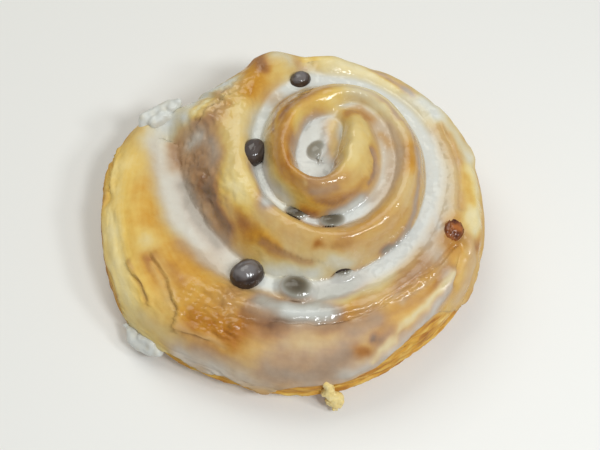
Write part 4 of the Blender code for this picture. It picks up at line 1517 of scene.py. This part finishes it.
@dataclass(frozen=True)
class BurstRaisin:
    """Raisin that has burst at the surface and baked into dark caramel.

    The eye gets a lumpy red-brown, darkest in its folds, with a wet sugar gloss.
    """

    name: str = "raisin_burst_caramel"
    dark: str = "#4a1c10"
    light: str = "#a8632f"
    lump: float = 2.8
    lump_depth: float = 0.0005
    lump_strength: float = 0.6
    roughness: float = 0.2
    ior: float = 1.48

    def build(self) -> bpy.types.Material:
        """Makes the material.

        Returns:
            The material.
        """
        made, tree, shader = new_material(self.name)
        place = add_node(tree, "TexCoord").outputs["Object"]
        fine = {"Vector": place, "Scale": 1 / (self.lump * MM), "Detail": 4.0}
        lumps = add_node(tree, "TexNoise", None, fine).outputs["Fac"]
        span = {"Value": lumps, "From Min": 0.35, "From Max": 0.68}
        spread = add_node(tree, "MapRange", None, span).outputs["Result"]
        browns = {0: spread, 6: linear(self.dark), 7: linear(self.light)}
        colour = add_node(tree, "Mix", {"data_type": "RGBA"}, browns)
        tree.links.new(colour.outputs[2], shader.inputs["Base Color"])
        folds = {"Height": lumps, "Distance": self.lump_depth, "Strength": self.lump_strength}
        bump = add_node(tree, "Bump", None, folds)
        tree.links.new(bump.outputs["Normal"], shader.inputs["Normal"])
        shader.inputs["Roughness"].default_value = self.roughness
        shader.inputs["IOR"].default_value = self.ior
        return made


# ---------------------------------------------------------------- pieces


def polar_blank(name: str, sectors: int, rings: int) -> tuple[bpy.types.Object, np.ndarray, np.ndarray]:
    """Rolls a grid into a ball to be pressed into shape, and reads where its points lie on it.

    Args:
        name: the piece's name.
        sectors: meridians round it.
        rings: rings from pole to pole.

    Returns:
        The ball, each point's bearing in degrees, and each point's ring counted from the top.
    """
    bpy.ops.object.select_all(action="DESELECT")
    bpy.ops.mesh.primitive_grid_add(x_subdivisions=sectors, y_subdivisions=rings, size=1.0)
    ball = bpy.context.object
    ball.name = name
    x, y, _ = (mesh_points(ball) * MM).T
    turned, tilted = (x + 0.5) * math.tau, (y + 0.5) * math.pi
    rolled = [np.sin(tilted) * np.sin(turned), np.sin(tilted) * np.cos(turned), np.cos(tilted)]
    set_points(ball, np.stack(rolled, 1) / MM)
    bpy.ops.object.mode_set(mode="EDIT")
    bpy.ops.mesh.select_all(action="SELECT")
    bpy.ops.mesh.remove_doubles(threshold=1e-5)
    bpy.ops.object.mode_set(mode="OBJECT")
    x, y, z = (mesh_points(ball) * MM).T
    ring = np.round(np.arccos(np.clip(z, -1.0, 1.0)) / math.pi * rings)
    sector = np.round(np.arctan2(x, y) / math.tau * sectors) % sectors
    sector = np.where((ring == 0) | (ring == rings), 0, sector)
    return ball, sector * TURN / sectors, ring


def cut_faces(piece: bpy.types.Object, keep: np.ndarray) -> None:
    """Deletes the faces whose corners aren't all kept.

    Args:
        piece: the mesh object.
        keep: one flag for each point.
    """
    select_only(piece)
    bpy.ops.object.mode_set(mode="EDIT")
    bpy.ops.mesh.select_mode(type="FACE")
    bpy.ops.mesh.select_all(action="DESELECT")
    bpy.ops.object.mode_set(mode="OBJECT")
    for face in piece.data.polygons:
        face.select = not all(keep[corner] for corner in face.vertices)
    bpy.ops.object.mode_set(mode="EDIT")
    bpy.ops.mesh.delete(type="FACE")
    bpy.ops.object.mode_set(mode="OBJECT")


def raise_relief(piece: bpy.types.Object, skin: Skin, relief: Relief) -> np.ndarray:
    """Presses a piece onto the coil and raises the relief from it.

    Args:
        piece: the mesh object.
        skin: where each of its points lies on the dough.
        relief: what stands off the coil.

    Returns:
        The raised places in millimetres.
    """
    set_points(piece, skin.points)
    raised = skin.points + point_normals(piece) * relief.at(skin)[:, None]
    set_points(piece, raised)
    return raised


COAT_EDGE = StationLine(
    (
        (0, 22), (30, 21), (58, 19), (83, 16), (95, 18), (104, 14), (112, 11), (117, 8),
        (123, 7.2), (127, 7), (131, 8.6), (135, 12.5), (139, 17), (144, 18.3), (152, 17.7),
        (160, 16.4), (164, 13.5), (173, 11.6), (180, 12), (186, 12.4), (190, 10.5),
        (194, 5), (198, 7), (205, 10.2), (212, 6.8), (218, 10.8), (224, 7.5), (228, 5.6),
        (236, 6.5), (240, 13.4), (246, 14.5), (251, 13.2), (258, 15.4), (272, 16), (360, 22),
    ),
    settle=2.0,
)


@dataclass
class Dough:
    """The coil of dough itself, from the eye over the shoulder to the flat base.

    Attributes:
        bare_below: how far under the coat's edge the wall starts to be bare, and is bare.
        bare_along: how near the shoulder that can be.
    """

    coil: Coil
    bake: Bake
    relief: Relief
    sectors: int = 470
    top_rings: int = 176
    wall_rings: int = 30
    base_rings: int = 3
    bare_below: tuple[float, float] = (0.2, 1.4)
    bare_along: float = 0.93

    def build(self, finish: bpy.types.Material) -> bpy.types.Object:
        """Presses a ball into the coil and bakes it.

        Args:
            finish: the crust's material.

        Returns:
            The piece.
        """
        rings = self.top_rings + self.wall_rings + self.base_rings
        piece, bearing, ring = polar_blank("dough_crust", self.sectors, rings)
        share = ring / self.top_rings
        down = np.clip((ring - self.top_rings) / self.wall_rings, 0.0, 1.0)
        skin = self.coil.skin(bearing, np.where(share < 1, self.coil.spread(share), 1 + down))
        under = np.clip((rings - ring) / self.base_rings, 0.0, 1.0)
        raised = raise_relief(piece, skin, self.relief)
        foot = self.coil.rim.at(bearing) - self.coil.base_inset
        x, y = self.coil.plan(bearing, foot * under)
        based = under < 1
        raised[:, 0] = np.where(based, x, raised[:, 0])
        raised[:, 1] = np.where(based, y, raised[:, 1])
        raised[:, 2] = np.where(based | (down >= 1), 0.0, np.maximum(raised[:, 2], 0.0))
        set_points(piece, raised)
        start, end = COAT_EDGE.at(bearing) - np.array(self.bare_below)[:, None]
        uncovered = smoothstep(start, end, raised[:, 2]) * (skin.along > self.bare_along)
        self.bake.paint(piece, skin, bare=uncovered)
        dress(piece, finish)
        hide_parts(Node.DOUGH.value)
        return piece


@dataclass(frozen=True)
class RaisinPlace:
    """Where one raisin lies and how it looks.

    Attributes:
        node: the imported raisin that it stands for.
        middle: its middle in millimetres.
        size: length, width and height in millimetres.
        bearing: bearing of its length.
        icing: 0 where it is bare, 1 where icing hides it.
        film: icing that the pool draws over it, in millimetres; none if it stands clear.
        fade: how much deeper the icing lies at its edge than over its middle.
        burst: whether it has burst and baked to brown sugar.
    """

    node: str
    middle: tuple[float, float, float]
    size: tuple[float, float, float]
    bearing: float
    icing: float
    film: float | None = None
    fade: float = 0.5
    burst: bool = False

    def top(self, x: np.ndarray, y: np.ndarray) -> tuple[np.ndarray, np.ndarray]:
        """The raisin's upper surface.

        Args:
            x: X of places in plan.
            y: Y of places in plan.

        Returns:
            Its height there, and how far out the place lies: 1 at its edge.
        """
        angle = math.radians(90 - self.bearing)
        east, north = x - self.middle[0], y - self.middle[1]
        length = (east * math.cos(angle) + north * math.sin(angle)) / (self.size[0] / 2)
        width = (north * math.cos(angle) - east * math.sin(angle)) / (self.size[1] / 2)
        out = np.hypot(length, width)
        height = self.middle[2] + self.size[2] / 2 * np.sqrt(np.maximum(1 - out * out, 0.0))
        return height, out


RAISINS = (
    RaisinPlace("raisin_eye", (7.9, 11.7, 31.6), (7.6, 6.4, 5.6), 40, 0.0, 0.22, 0.3),
    RaisinPlace("raisin_left", (-11.2, 13.6, 28.9), (9.2, 7.4, 7.4), 15, 0.1),
    RaisinPlace("raisin_lip", (1.7, -6.9, 27.0), (7.0, 5.4, 5.0), 100, 0.0, 0.0, 0.7),
    RaisinPlace("raisin_hollow", (12.1, -9.9, 27.4), (8.0, 5.8, 5.6), 85, 0.0, 0.06, 0.7),
    RaisinPlace("raisin_back", (2.7, 42.3, 26.6), (7.0, 6.0, 6.0), 60, 0.3),
    RaisinPlace("raisin_front_left", (-12.8, -22.9, 20.0), (10.2, 9.0, 8.4), 60, 0.34),
    RaisinPlace("raisin_front", (1.6, -27.9, 19.8), (10.4, 8.4, 7.2), 110, 0.0, 0.04, 1.0),
    RaisinPlace("raisin_pool", (15.0, -22.7, 21.4), (6.4, 4.8, 4.8), 75, 0.0, 0.0, 0.8),
    RaisinPlace("raisin_baked", (47.3, -10.6, 24.0), (7.6, 6.2, 5.2), 20, 0.0, burst=True),
)


@dataclass
class Pools:
    """The icing that has run into the groove and the eye.

    Attributes:
        sink: how far a pool's feathered edge lies under the dough.
        skirt: depth below which the mesh is cut away.
        still: depth past which the crust's relief no longer shows through.
        collar: how far icing climbs a raisin that stands clear.
        drape, slope: how softly icing bends onto a sunken raisin, and how steeply it falls away.
        limits: how far out a raisin stops lifting the icing, and where it lifts all of it.
        clear: depth of icing that hides a raisin by about two thirds.
        rim: how far out on a raisin it is hidden anyway.
    """

    coil: Coil
    bake: Bake
    relief: Relief
    sectors: int = 440
    rings: int = 180
    reach: float = 0.97
    sink: float = 0.14
    skirt: float = -0.12
    thickness: float = 0.9
    still: float = 1.2
    swell: float = 0.1
    swell_size: float = 6.0
    collar: float = 0.45
    collar_width: float = 0.16
    drape: float = 0.5
    slope: float = 4.0
    slope_power: float = 1.5
    limits: tuple[float, float] = (1.6, 0.95)
    beach: float = -0.1
    clear: float = 0.5
    rim: float = 0.9
    rim_cover: float = 6.0
    raisin_toast: float = 0.97
    raisin_show: float = 2.5
    thinnest: float = 0.92
    gloss: float = 0.6

    def build(self, finish: bpy.types.Material) -> bpy.types.Object:
        """Floods the coil's grooves and draws a film over the raisins that lie in them.

        Args:
            finish: the icing's material, which is the crust's own under a deeper veil.

        Returns:
            The piece.
        """
        piece, bearing, ring = polar_blank("icing_pools", self.sectors, self.rings)
        skin = self.coil.skin(bearing, ring / self.rings * self.reach)
        raised = raise_relief(piece, skin, self.relief)
        depth = self.bake.pool(skin, self.bake.shore) - self.sink
        wet = smoothstep(0.0, self.still, depth)
        raised += (skin.points - raised) * wet[:, None]
        uneven = self.swell * wet * grain(skin.points, self.swell_size, 91.0)
        surface = raised[:, 2] + depth + uneven
        toast, veil = self.bake.levels(skin, np.column_stack([raised[:, :2], surface]))
        for raisin in RAISINS:
            top, out = raisin.top(raised[:, 0], raised[:, 1])
            if raisin.film is None:
                surface += self.collar * np.exp(-(((out - 1.0) / self.collar_width) ** 2)) * wet
                continue
            surface = self.draped(surface, raisin, top, out, depth > self.beach)
            cover = np.maximum(surface - top, 0.0) + self.rim_cover * np.maximum(out - self.rim, 0.0)
            through = np.exp(-cover / self.clear) * (depth > 3 * self.beach)
            toast += (self.raisin_toast - toast) * np.clip(through * self.raisin_show, 0, 1)
            veil = np.minimum(veil, 1 - self.thinnest * through)
        raised[:, 2] = surface
        set_points(piece, raised)
        store(piece, "toast", toast)
        store(piece, "veil", veil)
        store(piece, "dry", self.bake.dryness(skin) * self.gloss)
        cut_faces(piece, depth > self.skirt)
        apply_modifier(piece, "SOLIDIFY", thickness=self.thickness * MM, offset=-1.0)
        dress(piece, finish)
        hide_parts(Node.ICING_SWIRL.value, Node.ICING_TAIL.value, Node.ICING_EYE.value)
        return piece

    def draped(
        self,
        surface: np.ndarray,
        raisin: RaisinPlace,
        top: np.ndarray,
        out: np.ndarray,
        iced: np.ndarray,
    ) -> np.ndarray:
        """Draws the icing over one sunken raisin.

        Args:
            surface: height of the icing.
            raisin: the raisin.
            top: height of the raisin.
            out: how far out on the raisin each place lies: 1 at its edge.
            iced: where there is icing to draw.

        Returns:
            The new height of the icing.
        """
        crown = top + raisin.film + raisin.fade * np.minimum(out, 1.0) ** 4
        crown -= self.slope * np.maximum(out - 1.0, 0.0) ** self.slope_power
        rise = crown - surface
        lift = 0.5 * (rise + np.sqrt(rise * rise + self.drape**2)) * (out < 1.7)
        return surface + lift * smoothstep(*self.limits, out) * iced


@dataclass
class FrontCoat:
    """The icing that has run over the outer turn and part of the way down its wall.

    Attributes:
        edge: height of its lower edge, by bearing.
        bead: height of the bead that has gathered at that edge.
        lip: height over which the edge comes up to the coat's thickness.
        wanders: height, wavelength and seed of each layer of the edge's wandering.
        span: bearings where the coat starts and ends.
    """

    coil: Coil
    bake: Bake
    relief: Relief
    sectors: int = 440
    shoulder_rings: int = 84
    wall_rings: int = 18
    start: float = 0.84
    start_fade: float = 0.1
    reach: float = 1.7
    thickness: float = 0.5
    sink: float = 0.15
    skirt: float = -0.12
    body: float = 0.5
    bead: float = 0.55
    bead_rise: float = 1.0
    bead_width: float = 0.9
    lip: float = 0.7
    wanders: tuple[tuple[float, float, float], ...] = ((0.5, 3.2, 29.0), (0.7, 8.0, 39.0))
    span: tuple[float, float] = (16.0, 272.0)
    span_fades: tuple[float, float] = (16.0, 12.0)
    bead_veil: float = 0.25
    edge: StationLine = COAT_EDGE

    def build(self, finish: bpy.types.Material) -> bpy.types.Object:
        """Lays the coat over the shoulder.

        Args:
            finish: the icing's material.

        Returns:
            The piece.
        """
        rings = self.shoulder_rings + self.wall_rings
        piece, bearing, ring = polar_blank("icing_coat", self.sectors, rings)
        share = ring / self.shoulder_rings
        down = (ring - self.shoulder_rings) / self.wall_rings * (self.reach - 1)
        along = np.where(share < 1, self.coil.spread(np.minimum(share, 1), self.start), 1 + down)
        skin = self.coil.skin(bearing, along)
        raised = raise_relief(piece, skin, self.relief)
        first, last = self.span
        rising, falling = self.span_fades
        ends = smoothstep(first, first + rising, bearing) * smoothstep(last, last - falling, bearing)
        wander = sum(far * grain(skin.points, size, seed) for far, size, seed in self.wanders)
        above = skin.points[:, 2] - self.edge.at(bearing) + wander
        upper = smoothstep(self.start, self.start + self.start_fade, along)
        bead = self.bead * np.exp(-(((above - self.bead_rise) / self.bead_width) ** 2))
        depth = (self.thickness + bead) * upper * smoothstep(0.0, self.lip, above) * ends - self.sink
        coated = raised + self.coil.outward(bearing, along) * depth[:, None]
        set_points(piece, coated)
        self.bake.paint(piece, skin, self.bead_veil * bead)
        cut_faces(piece, (depth > self.skirt) & (ring > 0) & (ring < rings))
        apply_modifier(piece, "SOLIDIFY", thickness=self.body * MM, offset=-1.0)
        dress(piece, finish)
        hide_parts(Node.ICING_FRONT.value)
        return piece


@dataclass
class Raisins:
    """The raisins, each a wrinkled copy of one blank.

    Attributes:
        wrinkle: depth of the wrinkles as a share of a raisin's size.
        sunken_size: size of a raisin under icing, so that the icing clears it.
        cap: how far up a place has to face before icing lies on it, and where it is whole.
    """

    segments: int = 56
    rings: int = 40
    wrinkle: float = 0.035
    wrinkle_size: float = 0.7
    wrinkle_stretch: tuple[float, float, float] = (0.7, 1.6, 1.6)
    burst_wrinkle: float = 2.6
    swell: float = 0.06
    swell_size: float = 1.3
    sunken_size: float = 0.92
    cap: tuple[float, float] = (0.45, 1.0)
    cap_mottle: float = 0.25

    def build(self, finish: bpy.types.Material, burst: bpy.types.Material) -> list[bpy.types.Object]:
        """Makes every raisin.

        Args:
            finish: the skin's material.
            burst: the material of one that has burst in the oven.

        Returns:
            The pieces.
        """
        blank, _, _ = polar_blank("raisin_blank", self.segments, self.rings)
        unit = mesh_points(blank) * MM
        pieces = []
        for number, spot in enumerate(RAISINS):
            piece = blank.copy()
            piece.data = blank.data.copy()
            piece.name = spot.node.replace("raisin_", "raisin_skin_")
            bpy.context.collection.objects.link(piece)
            self.shape(piece, unit, spot, number)
            dress(piece, burst if spot.burst else finish)
            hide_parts(spot.node)
            pieces.append(piece)
        bpy.data.objects.remove(blank, do_unlink=True)
        return pieces

    def shape(self, piece: bpy.types.Object, unit: np.ndarray, spot: RaisinPlace, number: int) -> None:
        """Wrinkles one raisin, turns it and sets it in its place.

        Args:
            piece: the raisin.
            unit: the blank's points, on a ball of radius one.
            spot: where it lies.
            number: which raisin it is, so that no two are alike.
        """
        seed = 13.7 * number
        stretched = unit * np.array(self.wrinkle_stretch)
        ridges = 1 - 2 * np.abs(grain(stretched, self.wrinkle_size, seed, 2))
        wrinkle = self.wrinkle * (self.burst_wrinkle if spot.burst else 1.0)
        uneven = self.swell * grain(unit, self.swell_size, seed + 4)
        swell = 1 + uneven + wrinkle * (ridges - 0.6)
        swell *= 1.0 if spot.film is None else self.sunken_size
        points = unit * swell[:, None] * np.array(spot.size) / 2
        angle = math.radians(90 - spot.bearing)
        turned = points.copy()
        turned[:, 0] = points[:, 0] * math.cos(angle) - points[:, 1] * math.sin(angle)
        turned[:, 1] = points[:, 0] * math.sin(angle) + points[:, 1] * math.cos(angle)
        set_points(piece, turned + np.array(spot.middle))
        facing = point_normals(piece)[:, 2] + self.cap_mottle * grain(unit, 0.8, seed + 9)
        store(piece, "veil", np.clip(1.2 * spot.icing * smoothstep(*self.cap, facing), 0, 0.95))


@dataclass
class IcingLump:
    """A thick clot of icing, run together from a few drops.

    Attributes:
        name: the piece's name.
        drops: x, y, z and radius of each drop, in millimetres.
        toast: bake of what shows through it.
        veil: how white it is.
        roughness: height of its unevenness in millimetres.
        grain_size: wavelength of its unevenness in millimetres.
        fine_share: height of its finer unevenness as a share, and fine_size the wavelength's.
        voxel: the grid that the drops are run together on, in millimetres.
        settling: how many times the joins are smoothed.
        links: where the drops in between lie, from one drop to the next.
        mottle: unevenness of its bake and its white.
    """

    name: str
    drops: tuple[tuple[float, float, float, float], ...]
    toast: float = 0.3
    veil: float = 0.95
    roughness: float = 0.3
    grain_size: float = 4.5
    fine_share: float = 0.5
    fine_size: float = 0.35
    voxel: float = 0.32
    settling: int = 16
    links: tuple[float, float] = (0.33, 0.67)
    mottle: float = 0.1

    def build(self, finish: bpy.types.Material, slot: Slot) -> bpy.types.Object:
        """Runs the drops together.

        Args:
            finish: the material.
            slot: the record's slot that it stands for; it is not used.

        Returns:
            The piece.
        """
        drops = []
        beads = np.array(self.drops)
        between = [beads[:-1] * (1 - share) + beads[1:] * share for share in self.links]
        bpy.ops.object.select_all(action="DESELECT")
        for x, y, z, radius in np.concatenate([beads, *between]):
            place = (x * MM, y * MM, z * MM)
            bpy.ops.mesh.primitive_ico_sphere_add(subdivisions=3, radius=radius * MM, location=place)
            drops.append(bpy.context.object)
        for drop in drops:
            drop.select_set(True)
        piece = drops[0]
        bpy.context.view_layer.objects.active = piece
        bpy.ops.object.join()
        bpy.ops.object.transform_apply(location=True, rotation=True, scale=True)
        piece.name = self.name
        apply_modifier(piece, "REMESH", mode="VOXEL", voxel_size=self.voxel * MM)
        apply_modifier(piece, "SMOOTH", factor=0.5, iterations=self.settling)
        points = mesh_points(piece)
        fine = grain(points, self.grain_size * self.fine_size, 25.0)
        bumps = grain(points, self.grain_size, 5.0) + self.fine_share * fine
        set_points(piece, points + point_normals(piece) * (self.roughness * bumps)[:, None])
        store(piece, "toast", self.toast + self.mottle * grain(points, 1.5, 3.0))
        veil = self.veil + self.mottle * grain(points, 2.0, 13.0)
        store(piece, "veil", np.clip(veil, 0.0, 0.97))
        store(piece, "dry", 0.5 + 0 * bumps)
        dress(piece, finish)
        return piece


LUMPS = (
    IcingLump(
        "icing_lump_back",
        (
            (-46.8, 30.8, 18.4, 1.8), (-46, 32.6, 19.3, 2.5), (-43.5, 33.9, 19.9, 2.5),
            (-41, 34.9, 20.6, 2.4), (-38.5, 35.8, 21.3, 2.3), (-36.3, 36, 22.4, 1.8),
            (-35.3, 36.1, 23.9, 1.0), (-43, 31, 20, 2.3), (-39.5, 32.6, 20.8, 2.1),
        ),
    ),
    IcingLump(
        "icing_lump_front",
        (
            (-47.6, -34.6, 6.2, 1.4), (-46.5, -36.4, 5.2, 2.3), (-44, -38.3, 5.2, 2.5),
            (-41.5, -40, 5.6, 2.3), (-38.8, -41.3, 7, 1.9), (-43.5, -37.5, 7.4, 1.9),
            (-40.5, -39.6, 8.6, 1.7), (-48.8, -32.9, 6.2, 0.9), (-49.8, -32.7, 6, 0.55),
        ),
    ),
)
CRUMB = IcingLump(
    "custard_crumb",
    (
        (10.2, -54.2, 12.4, 1.2), (11, -54.8, 10.4, 1.5), (10.2, -55, 8.4, 1.5),
        (12.2, -55.4, 7.2, 1.6), (13.8, -55.3, 6, 1.5), (12, -56.2, 5, 1.4),
        (13.6, -56.7, 3.6, 1.3), (10.8, -56, 4.6, 1.1), (14.6, -56.3, 5, 0.9),
        (12.6, -57.2, 2.2, 0.9),
    ),
    toast=0.16,
    veil=0.08,
    roughness=0.5,
    grain_size=1.6,
    voxel=0.26,
    settling=5,
)


# ---------------------------------------------------------------- studio


@dataclass(frozen=True)
class Lamp:
    """A soft square light.

    Attributes:
        name: its name.
        place: where it hangs, in metres.
        size: its side in metres.
        power: its power in watts.
        colour: its colour.
    """

    name: str
    place: tuple[float, float, float]
    size: float
    power: float
    colour: str = "#f6fbff"


@dataclass
class Studio:
    """Floor, lights and camera.

    Attributes:
        aim: the place that the camera and the lamps face, in millimetres.
        distance: how far off the camera stands, in millimetres.
        elevation: how steeply it looks down, in degrees.
        floor_size, floor_drop: the floor's side and how far under the bun it lies, in metres.
        lamps: one soft light at the back left, and three small ones that give the glints.
    """

    aim: tuple[float, float, float] = (2.6, -3.5, 15.0)
    distance: float = 340.0
    elevation: float = 60.0
    lens: float = 67.3
    floor_colour: str = "#e9e7e2"
    floor_size: float = 6.0
    floor_drop: float = 0.0003
    sky_colour: str = "#f4f5f7"
    sky_strength: float = 0.3
    lamps: tuple[Lamp, ...] = (
        Lamp("window", (-0.25, 0.42, 0.75), 0.6, 3.1, "#fbfcf4"),
        Lamp("lamp_left", (0.04, -0.34, 0.62), 0.07, 0.5),
        Lamp("lamp_right", (0.26, -0.3, 0.56), 0.12, 1.6),
        Lamp("lamp_low", (0.38, -0.2, 0.42), 0.09, 0.8),
    )

    def build(self) -> None:
        """Sets up the floor, each lamp, the sky and the camera."""
        self.add_floor()
        for lamp in self.lamps:
            self.add_light(lamp)
        self.add_sky()
        self.add_camera()

    def add_floor(self) -> None:
        """Adds a plain pale floor under the bun."""
        bpy.ops.object.select_all(action="DESELECT")
        under = (0, 0, -self.floor_drop)
        bpy.ops.mesh.primitive_plane_add(size=self.floor_size, location=under)
        floor = bpy.context.object
        floor.name = "studio_floor"
        made, _, shader = new_material("matt_paper_floor")
        shader.inputs["Base Color"].default_value = linear(self.floor_colour)
        shader.inputs["Roughness"].default_value = 0.9
        floor.data.materials.append(made)

    def add_light(self, lamp: Lamp) -> None:
        """Hangs one lamp so that it faces the bun.

        Args:
            lamp: the lamp.
        """
        light = bpy.data.lights.new(lamp.name, "AREA")
        light.size = lamp.size
        light.energy = lamp.power
        light.color = linear(lamp.colour)[:3]
        holder = bpy.data.objects.new(lamp.name, light)
        holder.location = lamp.place
        aim = Vector(self.aim) * MM - Vector(lamp.place)
        holder.rotation_euler = aim.to_track_quat("-Z", "Y").to_euler()
        bpy.context.collection.objects.link(holder)

    def add_sky(self) -> None:
        """Adds the even light from all round."""
        world = bpy.data.worlds.new("studio")
        world.use_nodes = True
        sky = world.node_tree.nodes["Background"]
        sky.inputs["Color"].default_value = linear(self.sky_colour)
        sky.inputs["Strength"].default_value = self.sky_strength
        bpy.context.scene.world = world

    def add_camera(self) -> None:
        """Looks down on the bun from the front."""
        data = bpy.data.cameras.new("camera")
        data.lens = self.lens
        camera = bpy.data.objects.new("camera", data)
        tilt = math.radians(self.elevation)
        aim = Vector(self.aim) * MM
        back = Vector((0.0, -math.cos(tilt), math.sin(tilt))) * self.distance * MM
        camera.location = aim + back
        camera.rotation_euler = (-back).to_track_quat("-Z", "Y").to_euler()
        bpy.context.collection.objects.link(camera)
        bpy.context.scene.camera = camera
        bpy.context.scene.view_settings.view_transform = "Standard"


def report(piece: bpy.types.Object) -> None:
    """Logs a piece's name and size."""
    LOG.info("%s: %d faces", piece.name, len(piece.data.polygons))


def main() -> None:
    """Builds the bun piece by piece, then the studio round it."""
    logging.basicConfig(level=logging.INFO, format="%(name)s: %(message)s")
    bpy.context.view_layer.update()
    coil = Coil()
    bake = Bake(coil)
    relief = Relief(coil)
    crust = GlazedCrust().build()
    report(Dough(coil, bake, relief).build(crust))
    report(Pools(coil, bake, relief).build(crust))
    report(FrontCoat(coil, bake, relief).build(crust))
    for raisin in Raisins().build(RaisinSkin().build(), BurstRaisin().build()):
        report(raisin)
    for lump in LUMPS:
        report(lump.build(crust, Slot.ICING))
    report(CRUMB.build(crust, Slot.DOUGH))
    Studio().build()


if __name__ == "__main__":
    main()
